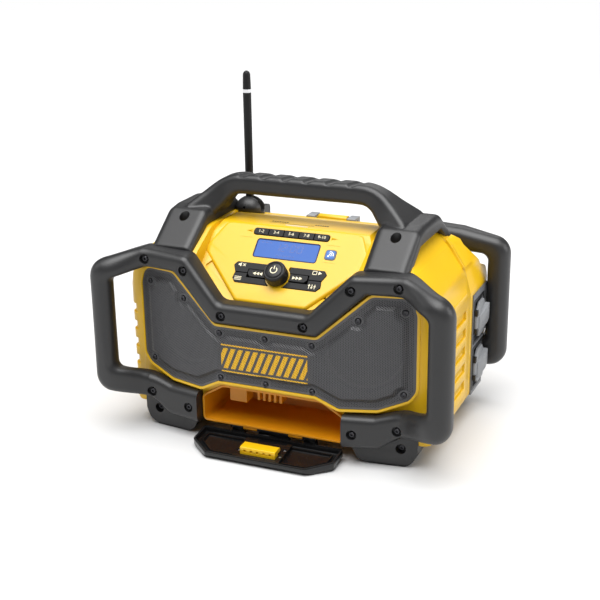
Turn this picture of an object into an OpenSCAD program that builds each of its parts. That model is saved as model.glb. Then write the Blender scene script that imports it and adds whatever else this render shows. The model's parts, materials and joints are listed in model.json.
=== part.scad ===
// Jobsite radio: yellow two-part housing, a one-piece front guard with side loops, two rear
// loops, a carry handle on saddles, a lidded storage bin and a battery bay. Millimetres.
// Pieces are drawn with y = 0 at the front guard's plane and z = 0 on the ground, then set
// back by centre_y, so that the origin lies under the middle of the whole.

/* [Housing] */
// Width of the housing between its side faces
body_w = 384; // [374:1:400]
// Front face of the housing, at the middle
body_front = 15.7; // [14:0.1:18]
// Rear face of the housing
body_rear = 247; // [240:1:256]
// Underside of the housing above the ground
body_bottom = 28; // [26:0.5:30]
// Height where the flat sides end and the shoulders begin
side_top = 165; // [155:1:172]
// Height of the flat top
top_z = 249.5; // [248:0.5:252]
// Wall thickness of the housing
wall = 3; // [2.4:0.1:3.6]
// Joint between the front and the rear shell
seam_y = 168; // [164:1:172]
// Half width of the flat middle of the front
flat_half = 58.7; // [56:0.1:61]
// How far the front sweeps back for each millimetre outwards
sweep = 0.13; // [0.11:0.005:0.15]

/* [Console] */
// Tilt of the console from level, degrees
console_tilt = 43; // [42:0.5:44]
// Height at which the console plane meets y = 0
console_z = 164.6; // [163:0.1:166]
// Thickness of the control panel
panel_t = 3; // [2.6:0.1:3.4]
// Travel of a key
key_travel = 1.2; // [0.8:0.1:1.4]
// Gap round a key
key_gap = 0.3; // [0.25:0.05:0.4]
// Width of the display lens
lens_w = 79; // [74:1:82]
// Height of the display lens along the slope
lens_h = 25; // [22:1:26]
// Diameter of the volume knob
knob_d = 27; // [24:0.5:28]
// Height of the volume knob above the panel
knob_h = 15; // [12:0.5:18]

/* [Guards] */
// Reach of the side loops beyond the housing's sides
loop_reach = 29; // [28:0.5:32]
// Diameter of the side loops' tube
tube_d = 27.5; // [24:0.5:28]
// Height of the guard's middle bar
bar_z = 167.3; // [166:0.1:169]
// Width of the guard's bar
bar_w = 24.8; // [23:0.2:26]
// Plane of the rear loops
rear_loop_y = 240; // [236:1:244]

/* [Handle] */
// Middle of the handle, front to back
handle_y = 116; // [114:1:118]
// Top of the grip
grip_top = 303; // [298:1:310]
// Thickness of the grip, top to bottom
grip_t = 24; // [22:0.5:26]
// Width of the grip, front to back
grip_w = 28; // [25:0.5:32]
// Number of grooves across the grip
grooves = 5; // [3:1:6]
// Spacing of the grooves
groove_pitch = 28.8; // [24:0.2:30]

/* [Grille and speakers] */
// Outside slope of the grille's wings
grille_sweep = 0.241; // [0.22:0.001:0.26]
// Thickness of the grille sheet
grille_t = 1.2; // [0.8:0.1:1.6]
// Width of the bead round the grille
bead = 3; // [2:0.1:3.4]
// Diameter of a speaker's frame
speaker_d = 104; // [96:1:108]
// Distance of a speaker from the middle
speaker_x = 114; // [112:1:116]
// Height of a speaker's axis
speaker_z = 134; // [131:1:137]

/* [Storage and battery] */
// Half width of the storage opening
bin_half = 87.4; // [84:0.2:88]
// Height of the storage opening's floor
bin_floor = 24.7; // [24:0.1:25.4]
// Height of the storage opening
bin_h = 44.3; // [42:0.1:45]
// Depth of the storage bin
bin_depth = 74; // [60:1:78]
// How far the storage door is open, degrees
door_open = 96; // [90:1:97]
// Thickness of the storage door
door_t = 7.4; // [6.5:0.1:8]
// Half width of the battery door
bay_half = 62; // [58:1:66]
// Depth of the battery bay
bay_depth = 62; // [55:1:66]

/* [Antenna] */
// Place of the antenna from the middle
antenna_x = -91; // [-92:0.5:-88]
// Place of the antenna, front to back
antenna_y = 163; // [162:0.5:165]
// Top of the antenna
antenna_top = 416; // [380:1:430]
// Diameter of the mast
mast_d = 10; // [8:0.5:10.5]

/* [Feet] */
// Length of a foot, front to back
foot_len = 44; // [36:1:50]

/* [Hidden] */

arc_n = 4;             // steps in a rounded corner
fit = 0.3;             // gap between pieces of different bodies
seat = 0.2;            // gap between pieces screwed together
run = 0.05;            // radial gap of a pin in its bore
half_w = body_w / 2;
front_at_side = body_front + sweep * (half_w - flat_half);

yellow = "gold";
charcoal = [0.23, 0.23, 0.24];
rubber = [0.13, 0.13, 0.14];
steel = [0.62, 0.62, 0.64];
pale_grey = [0.68, 0.69, 0.7];

// ---------------------------------------------------------------- geometry helpers

function unit(v) = v / norm(v);

// Points of the round of radius r at corner p between the neighbours a and b
function corner_round(a, p, b, r, n) =
    let (u = unit(a - p), w = unit(b - p), half = acos(max(-1, min(1, u * w))) / 2)
    (r <= 0 || half > 89.5) ? [for (i = [0 : n]) p] :
    let (c = p + unit(u + w) * r / sin(half), s = p + u * r / tan(half) - c,
        e = p + w * r / tan(half) - c, a0 = atan2(s.y, s.x),
        turn = (atan2(e.y, e.x) - a0 + 540) % 360 - 180)
    [for (i = [0 : n]) c + r * [cos(a0 + turn * i / n), sin(a0 + turn * i / n)]];

function xy(c) = [c.x, c.y];

// Closed outline from corners [x, y, radius]
function outline(c, n = arc_n) = let (m = len(c)) [for (i = [0 : m - 1])
    each (c[i][2] > 0
        ? corner_round(xy(c[(i + m - 1) % m]), xy(c[i]), xy(c[(i + 1) % m]), c[i][2], n)
        : [xy(c[i])])];

// The corners with x >= 0, from the bottom middle to the top middle, with their mirror images
function both_sides(h) = concat(h,
    [for (i = [len(h) - 1 : -1 : 0]) if (h[i].x > 0.01) [-h[i].x, h[i].y, h[i][2]]]);

function turn_area(c) = let (m = len(c)) [for (i = 0, s = 0; i <= m;
    s = s + (i < m ? c[i].x * c[(i + 1) % m].y - c[(i + 1) % m].x * c[i].y : 0), i = i + 1) s][m];

// Corners moved outwards by d, their rounds growing or shrinking with them
function grown(c, d) = let (m = len(c), way = sign(turn_area(c))) [for (i = [0 : m - 1])
    let (p = xy(c[i]), u = unit(p - xy(c[(i + m - 1) % m])), w = unit(xy(c[(i + 1) % m]) - p),
        nu = [u.y, -u.x] * way, nw = [w.y, -w.x] * way, mid = unit(nu + nw),
        bend = sign(cross(u, w)) * way, q = p + mid * d / (mid * nu))
    [q.x, q.y, c[i][2] <= 0 ? 0 : max(0.2, c[i][2] + bend * d)]];

// A front view [x, z] given a depth from y0 to y1
module slab_y(points, y0, y1)
    translate([0, y1, 0]) rotate([90, 0, 0]) linear_extrude(y1 - y0) polygon(points);

// A side view [y, z] given a width from x0 to x1
module slab_x(points, x0, x1)
    translate([x0, 0, 0]) rotate([90, 0, 90]) linear_extrude(x1 - x0) polygon(points);

// A plan view [x, y] given a height from z0 to z1
module slab_z(points, z0, z1)
    translate([0, 0, z0]) linear_extrude(z1 - z0) polygon(points);

// A box given by its lowest and its highest corner
module box(a, b) translate(a) cube(b - a);

// A skin over closed rings of equal length, closed by flat ends
module skin(rings) {
    n = len(rings[0]);
    m = len(rings);
    polyhedron(
        points = [for (r = rings) each r],
        faces = concat([[for (i = [n - 1 : -1 : 0]) i]],
            [[for (i = [0 : n - 1]) (m - 1) * n + i]],
            [for (k = [0 : m - 2], i = [0 : n - 1], t = [0, 1])
                let (a = k * n + i, b = k * n + (i + 1) % n, c = b + n, d = a + n)
                t == 0 ? [a, c, d] : [a, b, c]]));
}

module both() {
    children();
    mirror([1, 0, 0]) children();
}

// All pieces are set back so that the origin is under the middle
module place() translate([0, -centre_y, 0]) children();

// The console's own frame: x across, y up the slope, z out of it
module on_console() translate([0, 0, console_z]) rotate([console_tilt, 0, 0]) children();

// Vertical band that follows the swept front, from y0 to y1 at the flat middle
module swept_band(y0, y1, slope, half, z0 = 0, z1 = 280) {
    back = slope * (half - flat_half);
    slab_z([[-half, y0 + back], [-flat_half, y0], [flat_half, y0], [half, y0 + back],
        [half, y1 + back], [flat_half, y1], [-flat_half, y1], [-half, y1 + back]], z0, z1);
}

// ---------------------------------------------------------------- housing

// Side faces: plan view of the housing with its swept front
function plan_corners(d) = grown([[flat_half, body_front, 0],
    [half_w, front_at_side, 12], [half_w, body_rear, 6],
    [-half_w, body_rear, 6], [-half_w, front_at_side, 12], [-flat_half, body_front, 0]], d);

// Front view of the shoulders
shoulder_corners = both_sides([[half_w, body_bottom, 10], [half_w, side_top, 16],
    [half_w - 7, side_top + 28, 16], [half_w - 28, side_top + 60, 20],
    [half_w - 54, side_top + 84, 10]]);

// Side view of the shoulders, under the handle's saddles
ledge_y = rear_loop_y - 14;
shoulder_z = top_z - 3;
shoulder_side = [[body_front, body_bottom, 0], [body_rear, body_bottom, 8],
    [body_rear, side_top + 14, 8], [ledge_y, side_top + 22, 2], [ledge_y, side_top + 26, 4],
    [204, shoulder_z - 30, 24], [156, shoulder_z, 26], [77, shoulder_z, 26],
    [33, side_top + 58, 12], [26, side_top + 20, 6], [body_front, side_top, 0]];

// Side view of the console and the top behind it
console_foot = 179.4;
console_side = [[body_front, body_bottom, 0], [body_rear, body_bottom, 8],
    [body_rear, top_z - 42.5, 12], [214, top_z - 21.5, 12], [130, top_z, 14],
    [(top_z - console_z) / tan(console_tilt), top_z, 8],
    [(console_foot - console_z) / tan(console_tilt), console_foot, 3],
    [body_front, console_foot - 1, 0]];

// Front view of the console and the top between the saddles
hump_half = 104.5;
hump_corners = both_sides([[hump_half, 150, 0], [hump_half, top_z - 19, 10], [92, top_z + 1, 0]]);

// Rear corners give way to the lower arms of the rear loops
notch_top = 95.5;
module rear_notch(d) both() slab_y(outline(grown([[98.5, 0, 0], [98.5, 69.5, 4],
    [160, notch_top - 1, 8], [220, notch_top, 0], [220, 0, 0]], d)), ledge_y - d, 300);

// The whole outside of the housing, drawn in by d
module housing(d = 0) difference() {
    housing_form(d);
    rear_notch(d);
}

module housing_form(d) {
    intersection() {
        slab_z(outline(plan_corners(-d)), body_bottom + d, top_z);
        slab_y(outline(grown(shoulder_corners, -d)), 0, 300);
        slab_x(outline(grown(shoulder_side, -d)), -half_w, half_w);
        union() {
            box([-half_w, 0, 0], [half_w, 300, console_foot - d]);
            both() box([hump_half - 4.5 + d, 0, 0], [half_w, 300, 300]);
        }
    }
    // raised block on each shoulder, behind the saddle
    intersection() {
        slab_y(outline(grown(shoulder_corners, 3 - d)), 0, 300);
        slab_x(outline(grown(shoulder_side, 3 - d)), -half_w - 4, half_w + 4);
        both() box([saddle_out + 3 + d, 162 + d, side_top + 34 + d], [half_w, 198 - d, 300]);
    }
    intersection() {
        slab_x(outline(grown(console_side, -d)), -half_w, half_w);
        slab_y(outline(grown(hump_corners, -d)), 0, 300);
        slab_z(outline(plan_corners(-d)), body_bottom + d, top_z);
    }
}

// Grille: corners of its front view, bottom middle to top middle
grille_corners = both_sides([[0, 83, 0], [60, 83, 5], [86.5, 68.5, 8], [129, 69.5, 14],
    [163, 83, 12], [170.5, 94, 14], [170.5, 183, 14], [165, 202.5, 14], [122.5, 203, 12],
    [64, 150.5, 8], [0, 150.5, 0]]);
bed_front = 0.5;       // front of the bead, at the flat middle
grille_drop = 1.2;     // the sheet's edge lies this far behind the bead

// Opening of the storage bin, front view
bin_top = bin_floor + bin_h;
bin_corners = both_sides([[0, bin_floor, 0], [bin_half, bin_floor, 4],
    [bin_half, bin_floor + 29, 5], [bin_half - 25.4, bin_top, 5], [0, bin_top, 0]]);
bin_wall = 2.4;

// Grille outline round a speaker's hole, in the frame of a wing
wing_angle = atan(grille_sweep);
module on_wing() both()
    translate([flat_half, bed_front, speaker_z]) rotate([0, 0, wing_angle])
        translate([(speaker_x - flat_half) / cos(wing_angle), 0, 0]) rotate([-90, 0, 0])
            children();

ribs = 5;              // raised ribs on each side
rib_pitch = 22.1;
rib_low = 69.3;
rib_depth = 2.8;
rib_end = 150;

// Troughs between the side ribs, from round the front corner to the ribs' rear ends
module side_troughs() difference() {
    both() for (k = [0 : ribs - 1])
        slab_x([[20, rib_low + rib_pitch * (k - 0.5) - 5.8], [rib_end, rib_low + rib_pitch * (k - 0.5) - 5.8],
            [rib_end, rib_low + rib_pitch * (k - 0.5) + 5.8], [20, rib_low + rib_pitch * (k - 0.5) + 5.8]],
            half_w - 10, half_w + 1);
    slab_z(outline(plan_corners(-rib_depth)), 0, 300);
}

bed_back = body_front + 1;
rail_y = body_rear - bay_depth;

// Bosses are left out: only the walls, seats and openings of the shells are drawn
module shell_cuts() {
    // storage bin
    slab_y(outline(grown(bin_corners, bin_wall + seat)), 0, body_front + bin_depth + seat);
    // speakers look out through the front
    on_wing() translate([0, 0, -20]) cylinder(d = speaker_d - 14, h = 40, $fn = 64);
    on_wing() translate([0, 0, seat_depth - seat]) cylinder(d = speaker_d + 1, h = 50, $fn = 64);
    // window under the control panel
    on_console() box([-60, 38, -30], [63, 121, 20]);
    on_console() linear_extrude(20) polygon(outline(grown(panel_corners, seat)));
    on_console() translate([0, 0, -panel_seat])
        linear_extrude(20) polygon(outline(grown(panel_corners, seat)));
}

panel_seat = 1.6;      // the panel is let into the console this deep

module front_shell() place() color(yellow) {
    difference() {
        union() {
            difference() {
                intersection() {
                    housing();
                    box([-half_w, 0, 0], [half_w, seam_y, 300]);
                }
                intersection() {
                    housing(wall);
                    box([-half_w, 0, 0], [half_w, seam_y + 1, 300]);
                }
            }
            // thicker wall behind the side ribs
            difference() {
                intersection() {
                    slab_z(outline(plan_corners(-1)), rib_low - rib_pitch, rib_low + rib_pitch * ribs - 8);
                    both() box([half_w - 12, 0, 0], [half_w, rib_end + 4, 300]);
                }
                slab_z(outline(plan_corners(-wall - 3)), 0, 300);
            }
            // raised bed of the grille
            intersection() {
                slab_y(outline(grown(grille_corners, bead)), -5, 60);
                swept_band(bed_front, 24, grille_sweep, half_w - 5);
            }
        }
        // the sheet lies in the bed, and the bed is open behind it
        intersection() {
            slab_y(outline(grown(grille_corners, seat)), -5, 60);
            swept_band(-5, bed_front + grille_drop + grille_t, grille_sweep, half_w - 5);
        }
        intersection() {
            slab_y(outline(grown(grille_corners, -6)), -5, 60);
            swept_band(-5, bed_front + grille_drop + grille_t + 4, grille_sweep, half_w - 5);
        }
        side_troughs();
        shell_cuts();
        screw_bores();
        at_grille_screws() translate([0, 0, -2]) cylinder(r = 1.6, h = 16, $fn = 24);
        // foot of the antenna
        translate([antenna_x, antenna_y, top_z - 30]) cylinder(d = 8 + 2 * seat, h = 40, $fn = 32);
    }
    // bosses under the grille's screws
    difference() {
        at_grille_screws() translate([0, 0, grille_t + 1]) cylinder(r = 4.4, h = 6, $fn = 24);
        at_grille_screws() translate([0, 0, -2]) cylinder(r = 1.6, h = 16, $fn = 24);
        shell_cuts();
    }
}

module rear_shell() place() color(yellow) difference() {
    union() {
        difference() {
            intersection() {
                housing();
                box([-half_w, seam_y + 0.02, 0], [half_w, 300, 300]);
            }
            intersection() {
                housing(wall);
                box([-half_w, 0, 0], [half_w, 300, 300]);
            }
        }
        // walls of the battery bay
        box([-bay_half - wall, rail_y - wall, bay_z0 - wall - 10],
            [bay_half + wall, body_rear - 1, bay_z1 + wall]);
        // floor and walls of the latch's pocket
        intersection() {
            housing();
            box([-33 - wall, 202 - wall, pocket_z - wall], [33 + wall, body_rear, 300]);
        }
    }
    // battery bay with the door's seat and the tongue's notch
    box([-bay_half + 5, rail_y, bay_z0], [bay_half - 5, body_rear + 5, bay_z1 - 4]);
    box([-bay_half - fit, door_seat_y - fit, bay_z0 - 9], [bay_half + fit, body_rear + 5, bay_z1 + fit]);
    box([-20, door_seat_y - fit, bay_z1], [20, body_rear + 5, bay_z1 + 9]);
    // side outlets and the mains gland
    box([half_w - 9, outlet_y0 - seat, outlet_z0 - seat],
        [half_w + 1, outlet_y1 + seat, outlet_z1 + seat]);
    box([half_w - 9, outlet_y1, notch_top + 4 - seat], [half_w + 1, outlet_y2 + seat, outlet_z1 + seat]);
    translate([gland_x, body_rear - 10, gland_z]) rotate([-90, 0, 0])
        cylinder(d = gland_d + 2 * seat, h = 20);
    // pocket of the battery latch
    box([-33, 202, pocket_z], [33, body_rear + 5, 300]);
}

bay_z0 = 52;
bay_z1 = 196;
door_seat_y = body_rear - 3.5;     // the battery door's inner face
outlet_y0 = 177;
outlet_y1 = 225.6;
outlet_y2 = 240;        // above the lower arm of the rear loop the plate reaches further back
outlet_z0 = 33;
outlet_z1 = 161;
gland_x = -82;
gland_z = 60;
gland_d = 18;

module storage_bin() place() color("darkorange") {
    difference() {
        slab_y(outline(grown(bin_corners, bin_wall)), body_front, body_front + bin_depth);
        slab_y(outline(bin_corners), body_front - 1, body_front + bin_depth - bin_wall);
        // way out for the sockets
        box([usb_x - usb_w / 2 - seat, body_front + bin_depth - 5, usb_z - usb_h / 2 - seat],
            [usb_x + usb_w / 2 + seat, body_front + bin_depth + 5, usb_z + usb_h / 2 + seat]);
        translate([aux_x, body_front + bin_depth - 5, usb_z]) rotate([-90, 0, 0])
            cylinder(d = aux_d + 2 * seat, h = 10);
        // room for the door's hinge
        hinge_room();
    }
    // knuckles under the floor, between those of the door
    difference() {
        both() union() {
            translate([20 + fit, hinge_y, hinge_z]) rotate([0, 90, 0])
                cylinder(r = knuckle_r, h = 18 - 2 * fit, $fn = 32);
            box([20 + fit, hinge_y - 1.5, hinge_z], [38 - fit, hinge_y + knuckle_r, bin_floor - 1]);
        }
        translate([-60, hinge_y, hinge_z]) rotate([0, 90, 0])
            cylinder(r = pin_r + run, h = 120, $fn = 32);
    }
}

// ---------------------------------------------------------------- storage door

hinge_y = body_front + 4.2;
hinge_z = bin_floor - 4.2;
knuckle_r = 3.4;
pin_r = 1.5;
door_in = body_front - 1.8;        // inner rim of the closed door
door_out = door_in - door_t;
door_top = bin_top + 8.6;
door_corners = both_sides([[0, bin_floor - 0.2, 0], [bin_half + 1.4, bin_floor - 0.2, 3],
    [bin_half + 1.4, bin_floor + 29.8, 4], [bin_half - 25, door_top, 4], [0, door_top, 0]]);
door_skin = 2.2;
leaf_half = 54;

// The door and what is on it are drawn closed and turned open about the hinge
module door_swing() place() translate([0, hinge_y, hinge_z]) rotate([door_open, 0, 0])
    translate([0, -hinge_y, -hinge_z]) children();

// Room that the leaf of the door sweeps under the bin
module hinge_room() both() for (x = [[-1, 20], [38, leaf_half]])
    translate([x[0] - fit, hinge_y, hinge_z]) rotate([0, 90, 0])
        cylinder(r = knuckle_r + fit, h = x[1] - x[0] + 2 * fit, $fn = 32);

// Middle of the whole, front to back: from the far edge of the open door to the rear loops
centre_y = (hinge_y + (door_in - hinge_y) * cos(door_open) - (door_top - hinge_z) * sin(door_open)
    + rear_loop_y + tube_d / 2) / 2;

module door_knuckle(x0, x1) {
    translate([x0, hinge_y, hinge_z]) rotate([0, 90, 0])
        cylinder(r = knuckle_r, h = x1 - x0, $fn = 32);
    slab_x([[hinge_y, hinge_z - knuckle_r], [door_out + 2, hinge_z - knuckle_r],
        [door_out, hinge_z - knuckle_r + 2], [door_out, bin_floor + 1], [door_in - 1, bin_floor + 1],
        [door_in - 1, hinge_z], [hinge_y, hinge_z]], x0, x1);
}

module storage_door() door_swing() color(rubber) difference() {
    union() {
        difference() {
            slab_y(outline(door_corners), door_out, door_in);
            slab_y(outline(grown(door_corners, -2.6)), door_out + door_skin, door_in + 1);
        }
        // stiffening ring inside the rim
        difference() {
            slab_y(outline(grown(door_corners, -9)), door_out + door_skin - 0.5, door_in - 2.6);
            slab_y(outline(grown(door_corners, -10.4)), door_out + door_skin - 1, door_in);
        }
        // block that carries the latch
        box([-29, door_out + 1, bin_floor + 8], [29, door_in + 0.4, door_top - 3.2]);
        door_knuckle(-leaf_half, -38 - fit);
        door_knuckle(-20 + fit, 20 - fit);
        door_knuckle(38 + fit, leaf_half);
    }
    // slot of the latch, through to the outside
    box([-latch_half - fit, door_out - 1, latch_z0 - latch_play],
        [latch_half + fit, door_in + 2, latch_z1 + latch_play]);
    // pin bore
    translate([-60, hinge_y, hinge_z]) rotate([0, 90, 0])
        cylinder(r = pin_r + run, h = 120, $fn = 32);
    // latch pin
    translate([-latch_half - 3, latch_pivot_y, latch_pivot_z]) rotate([0, 90, 0])
        cylinder(r = 1 + run, h = 2 * latch_half + 6, $fn = 24);
    // seats of the four screws
    for (p = door_screw_at) translate([p.x, door_in - 2, p.y]) rotate([-90, 0, 0])
        cylinder(r = 2.6, h = 4, $fn = 24);
    // bevel along the far edge, which comes nearest to the ground
    slab_x([[door_out - 1, door_top - 7], [door_out - 1, door_top + 1], [door_out + 3.5, door_top + 1]],
        -100, 100);
}

latch_play = 1.4;      // room for the latch to tip in its slot
latch_half = 22;
latch_z0 = bin_top - 11;
latch_z1 = bin_top - 1.6;
latch_pivot_y = door_out + 3.4;
latch_pivot_z = (latch_z0 + latch_z1) / 2;
door_screw_at = [[-25.6, 47], [25.6, 47], [-25.6, 61], [25.6, 61]];

module storage_latch() door_swing() color(yellow) {
    difference() {
        union() {
            slab_x(outline([[door_out + 0.4, latch_z0, 0], [door_in + 13, latch_z0 + 1.4, 1.5],
                [door_in + 13, latch_z1 - 1.2, 1.5], [door_out + 0.4, latch_z1, 0]]),
                -latch_half, latch_half);
            translate([-latch_half - 2.6, latch_pivot_y, latch_pivot_z]) rotate([0, 90, 0])
                cylinder(r = 1, h = 2 * latch_half + 5.2, $fn = 24);
        }
        // finger notches along the lower edge
        for (k = [-2 : 2]) translate([k * 8, 0, 0])
            box([-1.4, door_in + 4, latch_z0 - 1], [1.4, door_in + 14, latch_z0 + 3]);
    }
}

module door_seal() door_swing() color(rubber) difference() {
    slab_y(outline(grown(door_corners, -0.4)), door_in, door_in + 1);
    slab_y(outline(grown(door_corners, -2.2)), door_in - 1, door_in + 2);
    box([-leaf_half - 1, door_in - 2, bin_floor - 2], [leaf_half + 1, door_in + 2, bin_floor + 3]);
}

module storage_hinge_pin() place() color(steel)
    translate([-leaf_half + 0.5, hinge_y, hinge_z]) rotate([0, 90, 0])
        cylinder(r = pin_r, h = 2 * leaf_half - 1, $fn = 32);

module door_screws() door_swing() color(steel) for (p = door_screw_at)
    translate([p.x, door_in - 2 + 0.02, p.y]) rotate([-90, 0, 0]) difference() {
        cylinder(r = 2.3, h = 1.5, $fn = 24);
        translate([0, 0, 0.8]) cylinder(r = 1, h = 1, $fn = 6);
    }

// ---------------------------------------------------------------- guards

loop_out = half_w + loop_reach;
loop_in = loop_out - tube_d;
bar_top = bar_z + bar_w / 2;
bar_low = bar_z - bar_w / 2;
arm_end = 91;

// Outer and inner edge of the front guard's right half, as corners [x, z, radius]
guard_outer = [[54, bar_top, 14], [100.5, 226.5, 12], [161, 229.5, 16], [loop_out, 212.5, 24],
    [loop_out, 53.5, 22], [157, 41.5, 8], [133, 24.5, 14], [arm_end, 22, 0]];
guard_inner = [[64, bar_low, 8], [118, 206, 8], [158, 206.5, 10], [loop_in, 194.5, 9],
    [loop_in, 84.5, 9], [160, 72.5, 6], [128, 63, 14], [arm_end, 62, 0]];
// Front and back of the bar and the rounds of its front and back edges, corner by corner
guard_depth = [[-7.5, 0, 9, 2], [-1.5, 12, 9, 3], [-2.5, 12, 9, 3], [-34.8, -22.8, 12.5, 12.5],
    [-34.8, -22.8, 12.5, 12.5], [-1, 0, 9, 2], [-2, 0, 9, 2], [-2.3, 0, 9, 2]];

// Edge points with a round at every corner; the ends stay as they are
function edge(c, start, n) = [for (i = [0 : len(c) - 1])
    each corner_round(i == 0 ? start : xy(c[i - 1]), xy(c[i]),
        i == len(c) - 1 ? xy(c[i]) + [xy(c[i]).x - c[i - 1].x, c[i].y - c[i - 1].y] : xy(c[i + 1]),
        c[i][2], n)];

// Rounded section between an inner point a and an outer point b, front f, back k
function bar_section(a, b, f, k, rf, rk, n = 3) =
    let (hw = norm(b - a) / 2, mid = (a + b) / 2, w = unit(b - a),
        rf2 = min(rf, hw - 0.5), rk2 = min(rk, hw - 0.5))
    [for (q = [0 : 3], i = [0 : n])
        let (t = 90 * (q + i / n), r = q < 2 ? rk2 : rf2,
            cu = (q == 0 || q == 3 ? 1 : -1) * (hw - r), cv = q < 2 ? k - r : f + r,
            p = mid + w * (cu + r * cos(t)), y = cv + r * sin(t))
        [p.x, y, p.y]];

// The sweep of the front, added to points drawn as if it were flat
function swept(p) = [p.x, p.y + sweep * max(0, abs(p.x) - flat_half), p.z];

// Rings of one half of a guard, from its middle to the end of its lower arm
function guard_rings(outer, inner, depth, start_o, start_i, back, n) =
    let (o = edge(outer, start_o, n), i = edge(inner, start_i, n))
    [for (k = [0 : len(o) - 1]) let (d = depth[floor(k / (n + 1))])
        bar_section(i[k], o[k], d[0], back + d[1], d[2], d[3])];

function mirrored(rings) = [for (k = [len(rings) - 1 : -1 : 0])
    [for (j = [0 : len(rings[k]) - 1]) let (p = rings[k][j]) [-p.x, p.y, p.z]]];

guard_back = body_front - seat;
front_half = guard_rings(guard_outer, guard_inner, guard_depth, [0, bar_top], [0, bar_low],
    guard_back, 4);

// Screws of the guard: [x, z, head plane, as drawn flat]
guard_screw_at = [[50.3, 166.2], [102.1, 210.8], [154.9, 217.9], [154.7, 51.2], [103.2, 40.8]];
head_r = 4;
recess_r = 6;
screw_len = 20;
module screw_bores() both() for (p = guard_screw_at)
    translate([p.x, head_y(p.x), p.y]) rotate([-90, 0, 0]) cylinder(r = 2.2, h = 30, $fn = 24);
function head_y(x) = 2.6 + 0.164 * max(0, abs(x) - flat_half);

module guard_recess(p) translate([p.x, head_y(p.x), p.y]) rotate([90, 0, 0]) {
    cylinder(r = recess_r, h = 60, $fn = 32);
    translate([0, 0, -40]) cylinder(r = 2.2, h = 60, $fn = 24);
}

module front_guard() place() color(charcoal) difference() {
    skin([for (r = concat(mirrored(front_half), front_half)) [for (p = r) swept(p)]]);
    both() for (p = guard_screw_at) guard_recess(p);
    // seat round the grille's bead
    intersection() {
        slab_y(outline(grown(grille_corners, bead + fit)), -30, 60);
        swept_band(bed_front - fit, 60, grille_sweep, half_w);
    }
    // seat on the shoulders
    intersection() {
        housing(-seat);
        box([-200, 10, 150], [200, 60, 240]);
    }
}

// Screw with a round head and a six-lobed recess, head towards -y
module screw(r, head, shank, len) rotate([90, 0, 0]) {
    difference() {
        cylinder(r = r, h = head, $fn = 32);
        translate([0, 0, head - 1.6]) cylinder(r = r * 0.5, h = 2, $fn = 6);
    }
    translate([0, 0, -len]) cylinder(r = shank, h = len + 0.5, $fn = 24);
}

module guard_screws() place() color([0.3, 0.3, 0.31]) {
    both() for (p = guard_screw_at) translate([p.x, head_y(p.x) - 0.02, p.y])
        screw(head_r, 3, 2, screw_len);
    both() translate([foot_screw_x, foot_screw_y - 0.02, foot_screw_z]) screw(head_r, 3, 2, screw_len);
}

// Rear loops: the same tube, a flatter top arm, ending on the rear shell
rear_outer = [[105, 230, 0], [160, 226.5, 20], [loop_out - 0.5, 216, 22], [loop_out - 0.5, 55, 22],
    [153, 46, 8], [99, 31, 0]];
rear_inner = [[105, 200, 0], [160, 197.5, 10], [loop_in, 196, 9], [loop_in, 91, 9],
    [163, 88, 10], [99, 66, 0]];

// Section of a rear loop: depth measured from the loops' plane
rear_depth = [[-13.5, 13, 6, 10], [-12.8, 13.75, 6, 12], [-13.75, 13.75, 12.5, 12.5],
    [-13.75, 13.75, 12.5, 12.5], [-12.8, 13.75, 6, 12], [-13, 13, 6, 10]];

module rear_guard() {
    o = edge(rear_outer, [90, 230], 4);
    i = edge(rear_inner, [90, 200], 4);
    skin([for (k = [0 : len(o) - 1]) let (d = rear_depth[floor(k / 5)])
        bar_section(i[k], o[k], rear_loop_y + d[0], rear_loop_y + d[1], d[3], d[2])]);
}

module rear_guard_right() place() color(charcoal) rear_guard();
module rear_guard_left() place() color(charcoal) mirror([1, 0, 0]) rear_guard();

// ---------------------------------------------------------------- handle

saddle_in = 105;
saddle_out = 158;
saddle_t = 14;
grip_z = grip_top - grip_t / 2;

// Side view of a saddle: pads front and rear, a crown between
saddle_side = outline([[34, 216, 5], [29, 229.5, 4], [77, 263.5, 10], [handle_y - 22, 266, 20],
    [handle_y + 22, 266, 20], [2 * handle_y - 77, 263.5, 10], [2 * handle_y - 31, 231, 6],
    [2 * handle_y - 36, 216, 5], [2 * handle_y - 77, 246.4, 20], [77, 246.4, 20]]);

// Stations of the grip's right half: [x, z, half thickness, front, back]
grip_stations = [[0, grip_z, 12, -14, 14], [68, grip_z, 12, -14, 14],
    [84, grip_z - 1.5, 12.2, -14.5, 14.5], [97, grip_z - 8, 13, -17, 17],
    [111, grip_z - 21, 14.5, -25, 25], [127, grip_z - 35, 15, -37, 37]];

function grip_dir(k) = let (a = grip_stations[max(0, k - 1)],
    b = grip_stations[min(len(grip_stations) - 1, k + 1)]) unit([b.x - a.x, b.y - a.y]);

function grip_ring(k, side) = let (s = grip_stations[k], d = grip_dir(k), up = [-d.y, d.x],
    a = [s.x, s.y] - up * s[2], b = [s.x, s.y] + up * s[2],
    ring = bar_section(a, b, handle_y + s[3], handle_y + s[4], 8, 8))
    [for (p = ring) [side * p.x, p.y, p.z]];

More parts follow.
